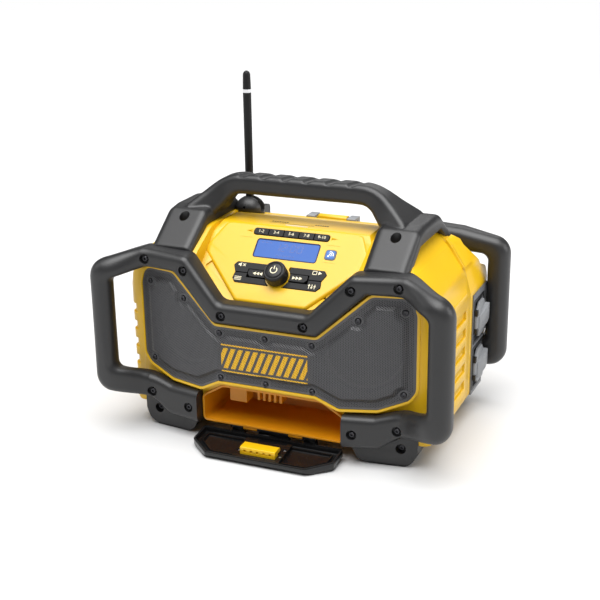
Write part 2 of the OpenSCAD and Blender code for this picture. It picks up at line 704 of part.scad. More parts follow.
module carry_handle() place() color(charcoal) difference() {
    union() {
        both() slab_x(saddle_side, saddle_in, saddle_out);
        skin(concat([for (k = [5 : -1 : 1]) grip_ring(k, -1)], [for (k = [0 : 5]) grip_ring(k, 1)]));
    }
    // grooves across the top of the grip
    for (k = [0 : grooves - 1]) translate([(k - (grooves - 1) / 2) * groove_pitch, 0, grip_top + 14.2])
        rotate([90, 0, 0]) translate([0, 0, -handle_y - 20]) cylinder(r = 16, h = 40, $fn = 64);
    // holes in the pads
    both() for (y = [pad_y, 2 * handle_y - pad_y]) translate([131.5, y, 240]) rotate([0, 0, 0])
        cylinder(r = 6, h = 40, $fn = 32);
    // room over the housing and behind the guard
    intersection() {
        housing(-seat);
        box([-200, 20, 150], [200, 230, 300]);
    }
    both() box([saddle_in - 5, 10, 190], [saddle_out + 5, 43, 230.3]);
    screw_bores();
}
pad_y = 67.6;

// ---------------------------------------------------------------- grille and speakers

module speaker_grille() place() color([0.42, 0.42, 0.44]) difference() {
    intersection() {
        slab_y(outline(grille_corners), -5, 60);
        swept_band(bed_front + grille_drop, bed_front + grille_drop + grille_t - 0.02,
            grille_sweep, half_w - 5);
    }
    at_grille_screws() translate([0, 0, -5]) cylinder(r = 1.8, h = 12, $fn = 24);
}

// The screws of the grille, square to the sheet and pointing into it
module at_grille_screws() {
    for (p = grille_screw_at, s = [-1, 1]) translate([s * p.x, grille_y(p.x), p.y])
        rotate([0, 0, s * (p.x > flat_half ? wing_angle : 0)]) rotate([-90, 0, 0]) children();
    for (z = [87.6, 142.5]) translate([0, grille_y(0), z]) rotate([-90, 0, 0]) children();
}

grille_screw_at = [[157.8, 186.6], [107.7, 174.5], [57.1, 142.5], [57.2, 87.6], [157.2, 89.6]];
function grille_y(x) = bed_front + grille_drop + grille_sweep * max(0, abs(x) - flat_half);

module grille_screws() place() color([0.2, 0.2, 0.21]) at_grille_screws()
    translate([0, 0, -0.05]) rotate([90, 0, 0]) rotate([0, 0, 0]) screw(3.2, 1.6, 1.4, 6);

cone_depth = 26;
frame_back = 46;
seat_depth = 16.5;       // the speakers' flanges lie this far behind the bead

module speaker_frames() place() color([0.3, 0.3, 0.32]) on_wing() translate([0, 0, seat_depth])
    rotate_extrude($fn = 64) polygon([[speaker_d / 2 - 9, 0], [speaker_d / 2, 0],
        [speaker_d / 2, 3], [speaker_d / 2 - 5, 3], [26, frame_back - 14], [14, frame_back - 14],
        [14, frame_back - 17], [24, frame_back - 17], [speaker_d / 2 - 9, 3]]);

module speaker_cones() place() color(rubber) on_wing() translate([0, 0, seat_depth + 0.4])
    rotate_extrude($fn = 64) polygon([[0, 9], [9, 10], [14, cone_depth - 6], [36, 1.5],
        [40, -1.5], [speaker_d / 2 - 9.4, 0], [speaker_d / 2 - 9.4, 1.6], [40, 1], [37, 4],
        [13, cone_depth - 2], [0, cone_depth - 2]]);

module speaker_magnets() place() color(steel) on_wing()
    translate([0, 0, seat_depth + frame_back - 14 + seat]) {
        cylinder(r = 27, h = 14, $fn = 48);
        translate([0, 0, 13.9]) cylinder(r = 20, h = 3, $fn = 48);
    }

// ---------------------------------------------------------------- console pieces

panel_corners = both_sides([[0, 30, 0], [47, 30, 6], [97, 84, 9], [82, 121.5, 7], [0, 121.5, 0]]);
panel_top = panel_t - panel_seat;  // height of the panel's face above the console
knob_at = [0, 57];
key_top = panel_top + 1.1;
key_foot = -4.2;
mat_top = key_foot - key_travel - 0.3;

// Outlines of the keys on the left pad, [x, up the slope]; the right pad mirrors them
mute_shape = [[-57.5, 66], [-54, 70.8], [-13, 70.8], [-13, 62.8], [-38, 62.8], [-38, 57.7],
    [-53.5, 57.7]];
menu_shape = [[-53.5, 56.9], [-38, 56.9], [-38, 51.6], [-13, 51.6], [-10, 44], [-50, 44],
    [-54.5, 49]];
seek_shape = [[-36.8, 61.8], [-11, 61.8], [-11, 52.6], [-33.5, 52.6], [-36.8, 55.8]];
preset_w = 18.2;
preset_gap = 0.8;
preset_s = 113.6;
preset_h = 8.5;
wireless_at = [54.4, 92.4];
wireless_w = 13;

// A flat key of the given outline, with the knob's ring cut out of it
module key(points, top = key_top) difference() {
    translate([0, 0, key_foot]) linear_extrude(top - key_foot) polygon(points);
    translate([knob_at.x, knob_at.y, -20]) cylinder(d = knob_d + 3.2, h = 40, $fn = 48);
}

function key_hole(points) = outline(grown([for (p = points) [p.x, p.y, 0]], key_gap));

module preset_outline(k, d = 0)
    translate([(k - 2) * (preset_w + preset_gap) - preset_w / 2 - d, preset_s - preset_h / 2 - d])
        square([preset_w + 2 * d, preset_h + 2 * d]);

module panel_holes() translate([0, 0, -10]) linear_extrude(20) {
    for (s = [mute_shape, menu_shape, seek_shape]) {
        polygon(key_hole(s));
        mirror([1, 0]) polygon(key_hole(s));
    }
    for (k = [0 : 4]) preset_outline(k, key_gap);
    translate([-lens_w / 2 - seat, 79.6 - seat]) square([lens_w + 2 * seat, lens_h + 2 * seat]);
    translate(wireless_at - [1, 1] * (wireless_w / 2 + key_gap))
        square(wireless_w + 2 * key_gap);
}

module control_panel() place() color(yellow) on_console() difference() {
    union() {
        difference() {
            translate([0, 0, -panel_seat + 0.02]) linear_extrude(panel_t) polygon(outline(panel_corners));
            panel_holes();
        }
        // ring under the knob ties the middle of the panel together
        translate([knob_at.x, knob_at.y, -panel_seat + 0.02]) cylinder(d = knob_d + 2.4, h = panel_t - 0.4, $fn = 48);
    }
    translate([knob_at.x, knob_at.y, -20]) cylinder(r = 4.5, h = 40, $fn = 32);
}

module console_key(shape, flip) place() color(rubber) on_console()
    mirror([flip, 0, 0]) key(shape);

module mute_key() console_key(mute_shape, 0);
module menu_key() console_key(menu_shape, 0);
module seek_back_key() console_key(seek_shape, 0);
module mode_key() console_key(mute_shape, 1);
module tone_key() console_key(menu_shape, 1);
module seek_forward_key() console_key(seek_shape, 1);

module preset_key(k) place() color(rubber) on_console()
    translate([0, 0, key_foot]) linear_extrude(key_top - key_foot) preset_outline(k);
module preset_key_1() preset_key(0);
module preset_key_2() preset_key(1);
module preset_key_3() preset_key(2);
module preset_key_4() preset_key(3);
module preset_key_5() preset_key(4);

module wireless_key() place() color([0.25, 0.4, 0.7]) on_console()
    translate([wireless_at.x, wireless_at.y, key_foot]) linear_extrude(key_top - key_foot)
        polygon(outline([for (c = [[1, 1], [-1, 1], [-1, -1], [1, -1]])
            [c.x * wireless_w / 2, c.y * wireless_w / 2, 2.5]]));

module lcd_window() place() color([0.3, 0.5, 0.9, 0.6]) on_console()
    translate([-lens_w / 2, 79.6, -panel_seat]) cube([lens_w, lens_h, panel_t - 0.5]);

module lcd_module() place() color([0.2, 0.35, 0.75]) on_console()
    box([-lens_w / 2 - 3, 77, -9], [lens_w / 2 + 3, 107, -panel_seat - seat]);

module keypad_mat() place() color(rubber) on_console() difference() {
    box([-59, 40, mat_top - 2], [62, 120, mat_top]);
    box([-lens_w / 2 - 3 - seat, 77 - seat, -20], [lens_w / 2 + 3 + seat, 107 + seat, 0]);
    translate([knob_at.x, knob_at.y, -20]) cylinder(r = 11.5, h = 40, $fn = 32);
}

board_top = -9 - seat;
module main_board() place() color([0.1, 0.35, 0.2]) on_console() difference() {
    box([-59, 40, board_top - 1.6], [62, 120, board_top]);
    translate([knob_at.x, knob_at.y, -20]) cylinder(r = 9.8, h = 40, $fn = 32);
}

knob_foot = panel_top + 1;

module volume_knob() place() color(rubber) on_console() translate([knob_at.x, knob_at.y, 0])
    difference() {
        rotate_extrude($fn = 64) polygon([[0, knob_foot], [knob_d / 2, knob_foot],
            [knob_d / 2, knob_foot + knob_h - 4], [knob_d / 2 - 1.6, knob_foot + knob_h - 1],
            [knob_d / 2 - 3.4, knob_foot + knob_h - 1], [knob_d / 2 - 4.2, knob_foot + knob_h - 0.4],
            [0, knob_foot + knob_h]]);
        translate([0, 0, knob_foot - 1]) cylinder(r = 3, h = 9, $fn = 32);
        for (a = [0 : 20 : 340]) rotate([0, 0, a]) translate([knob_d / 2 + 0.6, 0, knob_foot - 1])
            cylinder(r = 1.1, h = knob_h - 3, $fn = 16);
    }

module encoder_shaft() place() color(steel) on_console() translate([knob_at.x, knob_at.y, -6])
    cylinder(r = 3 - 0.01, h = knob_foot + 14 - 0.02, $fn = 32);

module encoder_plunger() place() color([0.8, 0.8, 0.75]) on_console()
    translate([knob_at.x, knob_at.y, -9]) difference() {
        cylinder(r = 5, h = 6, $fn = 32);
        translate([0, 0, 2.9]) cylinder(r = 3 + run, h = 6, $fn = 32);
    }

module encoder_body() place() color(steel) on_console() translate([knob_at.x, knob_at.y, -14])
    difference() {
        cylinder(r = 9.5, h = 10, $fn = 48);
        translate([0, 0, 3.5]) cylinder(r = 5 + run, h = 10, $fn = 32);
    }

// ---------------------------------------------------------------- antenna

knuckle_z = top_z + 1.5;
dome_r = 18;
mast_foot = dome_r - 4;            // where the mast's round part starts, above the pivot

module antenna_base() place() color(rubber) translate([antenna_x, antenna_y, 0]) {
    translate([0, 0, knuckle_z - 22]) cylinder(d = 8, h = 14, $fn = 32);
    antenna_dome();
}

module antenna_dome() difference() {
    intersection() {
        translate([0, 0, knuckle_z - 22]) cylinder(r = dome_r, h = 40, $fn = 48);
        translate([0, 0, knuckle_z - 8]) sphere(r = 19.5, $fn = 48);
    }
    // flat beside the handle's saddle
    box([-40, -30, 0], [-saddle_in - antenna_x + 0.4, 30, 300]);
    // slot for the mast's tongue, open above and towards +x
    box([-mast_d / 2 - 2, -3.2 - fit, knuckle_z - mast_d / 2 - 1.5], [30, 3.2 + fit, 300]);
    box([dome_r - 6, -mast_d / 2 - fit, knuckle_z - mast_d / 2 - 1], [30, mast_d / 2 + fit, 300]);
    translate([0, 20, knuckle_z]) rotate([90, 0, 0]) cylinder(r = 1.6 + run, h = 40, $fn = 24);
    translate([-antenna_x, -antenna_y, 0]) intersection() {
        housing(-seat);
        box([-150, 100, 190], [0, 246, 300]);
    }
}

module antenna_pin() place() color(steel) translate([antenna_x, antenna_y + 9, knuckle_z])
    rotate([90, 0, 0]) cylinder(r = 1.6, h = 18, $fn = 24);

module antenna_mast() place() color(rubber) translate([antenna_x, antenna_y, knuckle_z])
    difference() {
        union() {
            translate([0, 0, mast_foot]) cylinder(d = mast_d, h = antenna_top - 26 - knuckle_z - mast_foot, $fn = 32);
            intersection() {
                box([-mast_d / 2, -3.2, -mast_d / 2], [mast_d / 2, 3.2, mast_foot + 1]);
                union() {
                    rotate([90, 0, 0]) translate([0, 0, -10]) cylinder(d = mast_d, h = 20, $fn = 32);
                    cylinder(d = mast_d, h = 40, $fn = 32);
                }
            }
        }
        rotate([90, 0, 0]) translate([0, 0, -10]) cylinder(r = 1.6 + run, h = 20, $fn = 24);
    }

module antenna_ring() place() color("silver")
    translate([antenna_x, antenna_y, antenna_top - 26]) cylinder(d = mast_d + 0.4, h = 4, $fn = 32);

module antenna_tip() place() color(rubber) translate([antenna_x, antenna_y, antenna_top - 22])
    rotate_extrude($fn = 32) polygon(concat([[0, 0], [mast_d / 2, 0]],
        [for (a = [0 : 15 : 90]) [(mast_d / 2 - 0.5) * cos(a), 22 - (mast_d / 2) * 1.1 * (1 - sin(a))]]));

// ---------------------------------------------------------------- feet

foot_in = 98;
foot_out = 172;
foot_corners = [[foot_in, body_bottom + 1, 0], [foot_in + 10, 0, 16], [foot_out - 8, 0, 14],
    [foot_out + 2, 18, 14], [foot_out + 2, body_bottom + 1, 0]];
foot_screw_x = 154.8;
foot_screw_z = 23.2;
foot_screw_y = 32.5;

// A foot under the front corner: a block under the housing and a toe in front of it
module foot() difference() {
    union() {
        intersection() {
            slab_y(outline(foot_corners), 0, 100);
            swept_band(body_front, body_front + foot_len, sweep, 180, 0, body_bottom - seat);
        }
        intersection() {
            slab_y(outline([[foot_in, 21, 0], [foot_in + 8, 4, 10], [foot_out - 4, 4, 12],
                [foot_out + 2, 20, 12], [foot_out + 2, 43.5, 0], [158, 38.5, 0], [131, 23.2, 0],
                [foot_in + 6, 21, 0]]), 0, 100);
            union() {
                swept_band(body_front - 3.2, body_front + 0.02, sweep, 180, 0, body_bottom - seat);
                swept_band(body_front - 3.2, body_front - seat, sweep, 180, 0, 60);
            }
        }
    }
    translate([foot_screw_x, foot_screw_y, foot_screw_z]) rotate([90, 0, 0]) {
        cylinder(r = recess_r, h = 30, $fn = 32);
        translate([0, 0, -40]) cylinder(r = 2.2, h = 60, $fn = 24);
    }
}

module front_feet() place() color(charcoal) both() foot();

module rear_feet() place() color(charcoal) both() intersection() {
    slab_y(outline(foot_corners), 0, 300);
    box([0, body_rear - foot_len, 0], [300, body_rear - 2, body_bottom - seat]);
}

// ---------------------------------------------------------------- rear and side fittings

battery_hinge_z = bay_z0 - 3;
battery_door_y = door_seat_y;
module battery_door() place() color(rubber) {
    difference() {
        union() {
            slab_y(outline([[-bay_half, bay_z0 - 1, 3], [bay_half, bay_z0 - 1, 3],
                [bay_half, bay_z1, 3], [-bay_half, bay_z1, 3]]),
                battery_door_y, battery_door_y + 5);
            both() translate([20, battery_door_y + 2.5, battery_hinge_z]) rotate([0, 90, 0])
                cylinder(r = 2.5, h = 20, $fn = 32);
            both() box([20, battery_door_y, battery_hinge_z], [40, battery_door_y + 5, bay_z0]);
            // tongue that the latch holds
            box([-16, battery_door_y, bay_z1 - 5], [16, battery_door_y + 3, bay_z1 + 8]);
        }
        translate([-50, battery_door_y + 2.5, battery_hinge_z]) rotate([0, 90, 0])
            cylinder(r = 1.2 + run, h = 100, $fn = 24);
        // room for the hinge's ears
        both() box([40, battery_door_y - 1, bay_z0 - 3], [46 + 2 * fit, battery_door_y + 7, battery_hinge_z + 4.4]);
        // hollow back
        box([-bay_half + 3, battery_door_y - 1, bay_z0 + 3],
            [bay_half - 3, battery_door_y + 2.4, bay_z1 - 6]);
    }
    for (z = [bay_z0 + 20 : 20 : bay_z1 - 20])
        box([-bay_half + 12, battery_door_y + 4.5, z], [bay_half - 12, battery_door_y + 6.2, z + 5]);
}

module battery_hinge_pin() place() color(steel)
    translate([-45, battery_door_y + 2.5, battery_hinge_z]) rotate([0, 90, 0])
        cylinder(r = 1.2, h = 90, $fn = 24);

module latch_bracket() place() color(pale_grey) difference() {
    union() {
        both() box([latch_w + 2.4, 203, pocket_z + seat], [32.5, 222, lever_z + 3.5]);
        both() box([40 + fit, door_seat_y, battery_hinge_z - 2.6],
            [46, door_seat_y + 5, battery_hinge_z + 1.8]);
    }
    intersection() {
        housing(-seat);
        box([-60, 150, 20], [60, body_rear + seat / 2, pocket_z - 40]);
    }
    translate([-40, lever_y, lever_z]) rotate([0, 90, 0]) cylinder(r = 1.2 + run, h = 80, $fn = 24);
    translate([-50, battery_door_y + 2.5, battery_hinge_z]) rotate([0, 90, 0])
        cylinder(r = 1.2 + run, h = 100, $fn = 24);
}

lever_y = 213;
lever_z = top_z - 20.5;
pocket_z = 218;        // floor of the pocket that the latch sits in
latch_w = 19;          // half width of the lever
module battery_latch() place() color(yellow) {
    slab_x(outline([[lever_y - 4, lever_z - 3, 1], [lever_y + 2, lever_z - 5.5, 1],
        [body_rear - 0.5, 213.5, 5], [body_rear + 0.6, 209, 1], [body_rear + 0.6, bay_z1 + 8.6, 0.4],
        [body_rear + 5, bay_z1 + 8.6, 1], [body_rear + 5.5, 212, 4],
        [lever_y + 4, lever_z + 4, 3], [lever_y - 4, lever_z + 4, 3]]), -latch_w, latch_w);
    translate([-29, lever_y, lever_z]) rotate([0, 90, 0]) cylinder(r = 1.2, h = 58, $fn = 24);
}

// Rails that a battery slides down between, with the terminal block behind them
rail_in = 31;
module battery_rails() place() color(rubber) {
    both() slab_z([[rail_in + 8, rail_y + seat], [rail_in + 8, rail_y + 22], [rail_in - 4, rail_y + 22],
        [rail_in - 4, rail_y + 18], [rail_in, rail_y + 18], [rail_in, rail_y + seat]], 90, 176);
    box([-rail_in - 1, rail_y + seat, 90], [rail_in + 1, rail_y + 5, 176]);
    for (x = [-18, -6, 6, 18]) box([x - 1, rail_y + 4, 100], [x + 1, rail_y + 14, 124]);
}

outlet_zs = [66, 126];
outlet_y = (outlet_y0 + outlet_y1) / 2;
well_y = 21;           // half sizes of the well that a flap lies in
well_z = 25;
module outlet_plate() place() color(pale_grey) difference() {
    union() {
        box([half_w - 8, outlet_y0, outlet_z0], [half_w + 1.5, outlet_y1, outlet_z1]);
        box([half_w - 8, outlet_y1 - 1, notch_top + 4], [half_w + 1.2, outlet_y2, outlet_z1]);
    }
    for (z = outlet_zs) box([half_w - 6, outlet_y - well_y, z - well_z],
        [half_w + 2, outlet_y + well_y, z + well_z]);
}

module outlet_inserts() place() color(rubber) for (z = outlet_zs) difference() {
    box([half_w - 6 + 0.02, outlet_y - well_y + seat, z - well_z + seat],
        [half_w - 1, outlet_y + well_y - seat, z + well_z - seat]);
    for (y = [-7, 7]) box([half_w - 5, outlet_y + 3 + y - 1.2, z - 4], [half_w, outlet_y + 3 + y + 1.2, z + 4]);
    translate([half_w - 5, outlet_y + 3, z - 10]) rotate([0, 90, 0]) cylinder(r = 2.5, h = 10, $fn = 24);
}

flap_axis_y = outlet_y - well_y + 3;
flap_axis_x = half_w + 3;
flap_end = outlet_y + well_y - 1;
module flap(z) difference() {
    union() {
        slab_x([[flap_axis_y + 4.4, z - 14.4], [flap_axis_y + 12, z - 22], [flap_end, z - 22],
            [flap_end, z + 13], [flap_end - 9, z + 22], [flap_axis_y + 12, z + 22],
            [flap_axis_y + 4.4, z + 14.4]], half_w + 1.7, half_w + 4.4);
        // raised grip that stands out towards the rear
        intersection() {
            slab_x(outline([[flap_axis_y + 9, z - 17, 2], [flap_end - 1, z - 5, 2],
                [flap_end - 1, z + 16, 2], [flap_axis_y + 9, z + 4, 2]]), half_w + 3, half_w + 12);
            slab_z([[half_w + 2, flap_axis_y + 6], [half_w + 5, flap_axis_y + 8],
                [half_w + 10, flap_end - 9], [half_w + 10, flap_end], [half_w + 2, flap_end]], 0, 300);
        }
        translate([flap_axis_x, flap_axis_y, z - 8]) cylinder(r = 2.4, h = 16, $fn = 32);
        box([flap_axis_x - 1.2, flap_axis_y, z - 8], [flap_axis_x + 1.2, flap_axis_y + 6, z + 8]);
    }
    translate([flap_axis_x, flap_axis_y, 0]) cylinder(r = 1 + run, h = 300, $fn = 24);
}
module outlet_flap_upper() place() color(pale_grey) flap(outlet_zs[1]);
module outlet_flap_lower() place() color(pale_grey) flap(outlet_zs[0]);

module outlet_pins() place() color(rubber) for (z = outlet_zs) {
    translate([flap_axis_x, flap_axis_y, z - 14]) cylinder(r = 1, h = 28, $fn = 24);
    for (s = [-15, 8 + fit]) difference() {
        translate([0, 0, z + s])
            box([half_w - 1 + 0.02, flap_axis_y - 2.6, 0], [flap_axis_x + 2.6, flap_axis_y + 2.4, 7 - fit]);
        translate([flap_axis_x, flap_axis_y, 0]) cylinder(r = 1, h = 300, $fn = 24);
    }
}

usb_x = -40;
usb_z = 52;
usb_w = 15;
usb_h = 8;
aux_x = 40;
aux_d = 9;
aux_bore = 3.6;
module usb_port() place() color(steel) difference() {
    box([usb_x - usb_w / 2, body_front + bin_depth - bin_wall - 2, usb_z - usb_h / 2],
        [usb_x + usb_w / 2, body_front + bin_depth + 12, usb_z + usb_h / 2]);
    box([usb_x - usb_w / 2 + 1, body_front, usb_z - usb_h / 2 + 1],
        [usb_x + usb_w / 2 - 1, body_front + bin_depth + 9, usb_z + usb_h / 2 - 1]);
}

module aux_jack() place() color(rubber) difference() {
    translate([aux_x, body_front + bin_depth - bin_wall - 2, usb_z]) rotate([-90, 0, 0])
        cylinder(d = aux_d, h = 16, $fn = 32);
    translate([aux_x, body_front, usb_z]) rotate([-90, 0, 0])
        cylinder(d = aux_bore, h = bin_depth + 8, $fn = 32);
}

module power_supply() place() color(steel)
    box([72, 178, body_bottom + wall + seat], [132, ledge_y - wall - 1, 80]);

module mains_gland() place() color(rubber) translate([gland_x, body_rear - wall - 4, gland_z])
    rotate([-90, 0, 0]) difference() {
        union() {
            cylinder(d = gland_d, h = wall + 6, $fn = 40);
            translate([0, 0, wall + 4 + seat]) cylinder(d = gland_d + 5, h = 4, $fn = 40);
        }
        translate([0, 0, -1]) cylinder(d = 8, h = 30, $fn = 32);
    }

front_shell();
rear_shell();
control_panel();
storage_bin();
front_guard();
rear_guard_left();
rear_guard_right();
carry_handle();
speaker_grille();
lcd_window();
lcd_module();
keypad_mat();
main_board();
mute_key();
menu_key();
seek_back_key();
seek_forward_key();
mode_key();
tone_key();
preset_key_1();
preset_key_2();
preset_key_3();
preset_key_4();
preset_key_5();
wireless_key();
volume_knob();
encoder_shaft();
encoder_plunger();
encoder_body();
speaker_frames();
speaker_cones();
speaker_magnets();
antenna_base();
antenna_pin();
antenna_mast();
antenna_ring();
antenna_tip();
front_feet();
rear_feet();
storage_door();
door_seal();
storage_latch();
storage_hinge_pin();
battery_door();
battery_hinge_pin();
battery_latch();
latch_bracket();
battery_rails();
outlet_plate();
outlet_inserts();
outlet_flap_upper();
outlet_flap_lower();
outlet_pins();
usb_port();
aux_jack();
power_supply();
mains_gland();
guard_screws();
grille_screws();
door_screws();
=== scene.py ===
import bpy, bmesh, json, math
from functools import partial
from mathutils import Vector, Matrix
from mathutils.bvhtree import BVHTree


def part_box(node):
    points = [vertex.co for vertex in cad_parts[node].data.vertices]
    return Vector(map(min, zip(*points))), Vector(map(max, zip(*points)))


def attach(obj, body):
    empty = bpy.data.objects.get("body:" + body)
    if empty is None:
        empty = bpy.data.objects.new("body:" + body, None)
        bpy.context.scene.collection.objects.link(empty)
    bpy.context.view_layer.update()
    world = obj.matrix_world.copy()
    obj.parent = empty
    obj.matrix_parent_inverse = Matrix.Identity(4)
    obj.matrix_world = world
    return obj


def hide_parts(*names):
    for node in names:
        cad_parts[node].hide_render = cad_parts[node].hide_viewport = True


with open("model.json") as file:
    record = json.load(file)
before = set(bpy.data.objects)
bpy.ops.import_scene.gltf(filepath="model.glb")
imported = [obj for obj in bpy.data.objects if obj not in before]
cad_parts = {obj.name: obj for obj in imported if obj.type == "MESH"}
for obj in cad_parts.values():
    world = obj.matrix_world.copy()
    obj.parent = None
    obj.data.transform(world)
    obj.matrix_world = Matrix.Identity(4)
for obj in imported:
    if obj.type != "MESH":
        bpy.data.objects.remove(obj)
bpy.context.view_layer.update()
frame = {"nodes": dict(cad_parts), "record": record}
cadNodes = frame["nodes"]
bodyOfNode = {n: b for b, ns in frame["record"]["behaviour"]["bodies"].items() for n in ns}
print("frame loaded,", len(cadNodes), "nodes")

# The plans below are in millimetres from the plane of the front guard.
# The frame's origin lies under the middle.
rearLoopBack = 253.75
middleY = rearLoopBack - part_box("rear_guard_left")[1].y * 1000


def at(x, y, z):
    return Vector((x / 1000, (y - middleY) / 1000, z / 1000))


consoleTilt = math.radians(43)
consoleFoot = 164.6


def onConsole(x, s, n=0.0):
    # a point of the console: x across, s up the slope, n out of it
    c, d = math.cos(consoleTilt), math.sin(consoleTilt)
    return at(x, s * c - n * d, consoleFoot + s * d + n * c)


def newObject(name, data):
    obj = bpy.data.objects.new(name, data)
    bpy.context.scene.collection.objects.link(obj)
    return obj


# camera, light, floor

view = {"place": (532.17, -1131.16, 626.03), "turn": -23.311, "down": 19.262, "roll": -0.8067,
        "focal": 71.52, "sensor": 36, "near": 0.05, "far": 30}


def setCamera(v):
    turn, down, roll = (math.radians(v[k]) for k in ("turn", "down", "roll"))
    ahead = Vector((math.sin(turn) * math.cos(down), math.cos(turn) * math.cos(down), -math.sin(down)))
    flat = Vector((math.cos(turn), -math.sin(turn), 0))
    lift = flat.cross(ahead)
    right = flat * math.cos(roll) + lift * math.sin(roll)
    up = lift * math.cos(roll) - flat * math.sin(roll)
    cam = bpy.data.cameras.new("camera")
    cam.lens, cam.sensor_width = v["focal"], v["sensor"]
    cam.clip_start, cam.clip_end = v["near"], v["far"]
    obj = newObject("camera", cam)
    obj.matrix_world = Matrix.Translation(at(*v["place"])) @ Matrix(
        [[right[i], up[i], -ahead[i]] for i in range(3)]).to_4x4()
    bpy.context.scene.camera = obj


setCamera(view)

# metres, watts and degrees
studio = {
    "room": 0.12, "floor": 50, "aim": (0, 0, 0.14),
    "overhead": {"tilt": 14, "turn": 8, "spread": 60, "strength": 5.0},
    "softboxes": {
        "left": {"at": (-1.9, -0.7, 1.1), "size": (1.2, 1.0), "power": 7},
        "right": {"at": (2.0, 0.4, 1.0), "size": (1.2, 1.0), "power": 17},
        "back": {"at": (-0.3, 1.9, 1.5), "size": (1.6, 0.7), "power": 9},
    },
}


def setStudio(s):
    world = bpy.data.worlds.new("paleRoom")
    bpy.context.scene.world = world
    world.use_nodes = True
    room = world.node_tree.nodes["Background"].inputs
    room[0].default_value, room[1].default_value = (1, 1, 1, 1), s["room"]
    over = s["overhead"]
    sun = bpy.data.lights.new("overhead", "SUN")
    sun.energy, sun.angle = over["strength"], math.radians(over["spread"])
    newObject("overhead", sun).rotation_euler = (math.radians(over["tilt"]), 0, math.radians(over["turn"]))
    for name, box in s["softboxes"].items():
        light = bpy.data.lights.new(name, "AREA")
        light.shape, light.size, light.size_y, light.energy = "RECTANGLE", *box["size"], box["power"]
        obj = newObject(name, light)
        obj.location = box["at"]
        obj.rotation_euler = (Vector(s["aim"]) - obj.location).to_track_quat("-Z", "Y").to_euler()
    bpy.context.scene.view_settings.view_transform = "Standard"
    bpy.context.scene.view_settings.look = "None"


setStudio(studio)
print("camera and lights set")

# materials

cloudMm = 45        # slow change of colour over a moulding
keener, duller = 0.06, 0.08     # how far the grain takes a surface's roughness down and up
metalRelief = 0.0002            # metres


def hexColour(code):
    # an sRGB hex value as linear red, green, blue and alpha
    parts = [int(code[i:i + 2], 16) / 255 for i in (1, 3, 5)]
    return (*[c / 12.92 if c <= 0.04045 else ((c + 0.055) / 1.055) ** 2.4 for c in parts], 1)


def addNode(tree, kind, settings=None, links=None):
    # settings are sockets by name or number, or properties; a link's source is a number, a socket or a node
    node = tree.nodes.new(kind)
    for key, value in (settings or {}).items():
        if isinstance(key, int) or key in node.inputs:
            node.inputs[key].default_value = value
        else:
            setattr(node, key, value)
    for key, source in (links or {}).items():
        if isinstance(source, (int, float)):
            node.inputs[key].default_value = source
        else:
            tree.links.new(getattr(source, "outputs", [source])[0], node.inputs[key])
    return node


# the maths node and the ways in which it reckons
maths = "ShaderNodeMath"
plus, minus, times, over, toPower, modulo, less, greater, larger, ceiling, floor, unsigned, fraction = (
    {"operation": how} for how in ("ADD", "SUBTRACT", "MULTIPLY", "DIVIDE", "POWER", "MODULO", "LESS_THAN",
                                   "GREATER_THAN", "MAXIMUM", "CEIL", "FLOOR", "ABSOLUTE", "FRACT"))


def newMaterial(name, **sockets):
    mat = bpy.data.materials.new(name)
    mat.use_nodes = True
    shader = mat.node_tree.nodes["Principled BSDF"]
    for key, value in sockets.items():
        shader.inputs[key.replace("_", " ")].default_value = value
    return mat, mat.node_tree, shader.inputs


def clouded(tree, dark, light, scale, detail=3.0):
    # slow clouds between two colours
    place = addNode(tree, "ShaderNodeTexCoord").outputs["Object"]
    cloud = addNode(tree, "ShaderNodeTexNoise", {"Scale": scale, "Detail": detail}, {"Vector": place})
    return addNode(tree, "ShaderNodeMix", {"data_type": "RGBA", 6: hexColour(dark), 7: hexColour(light)},
                   {0: cloud.outputs["Fac"]}).outputs[2]


def addGrain(tree, shader, scale, low, high, bump, depth):
    # one fine grain, in the gloss from low to high roughness and in the relief
    place = addNode(tree, "ShaderNodeTexCoord").outputs["Object"]
    noise = addNode(tree, "ShaderNodeTexNoise", {"Scale": scale, "Detail": 2.0}, {"Vector": place})
    grain = noise.outputs["Fac"]
    gloss = addNode(tree, "ShaderNodeMapRange", {"To Min": low, "To Max": high}, {"Value": grain})
    relief = addNode(tree, "ShaderNodeBump", {"Strength": bump, "Distance": depth}, {"Height": grain})
    tree.links.new(gloss.outputs[0], shader["Roughness"])
    tree.links.new(relief.outputs[0], shader["Normal"])


def mouldedMaterial(name, light, dark, rough, grainMm, bump, ior=1.5):
    # a moulded surface: slow clouds of colour under a fine spark-eroded grain
    mat, tree, shader = newMaterial(name, IOR=ior)
    tree.links.new(clouded(tree, dark, light, 1000 / cloudMm), shader["Base Color"])
    addGrain(tree, shader, 1000 / grainMm, rough - keener, rough + duller, bump, grainMm / 4000)
    return mat


def metalMaterial(name, colour, rough, grainMm, bump=0.05):
    mat, tree, shader = newMaterial(name, Metallic=1.0, Base_Color=hexColour(colour))
    addGrain(tree, shader, 1000 / grainMm, rough - duller, rough + duller, bump, metalRelief)
    return mat


# ABS, moulded in a finely eroded tool: warm yellow, a broad soft highlight
yellowAbs = mouldedMaterial("mouldedYellowAbs", "#e1b512", "#dbab0b", 0.34, 0.9, 0.12, 1.53)
# the same ABS on the storage bin, its yellow deepened to orange as painted shade for the inside of the bin's
# recess
binAbsPaintedShade = mouldedMaterial("mouldedDeepYellowAbs", "#da9204", "#d28803", 0.42, 0.9, 0.15, 1.53)
# polycarbonate blend with coarse texture: dark, wide dull highlight
charcoalBlend = mouldedMaterial("texturedCharcoalBlend", "#202021", "#1c1c1d", 0.42, 1.1, 0.3, 1.56)
# glass-filled nylon: black with a slight satin
blackNylon = mouldedMaterial("mouldedBlackNylon", "#19191b", "#131314", 0.42, 0.8, 0.2)
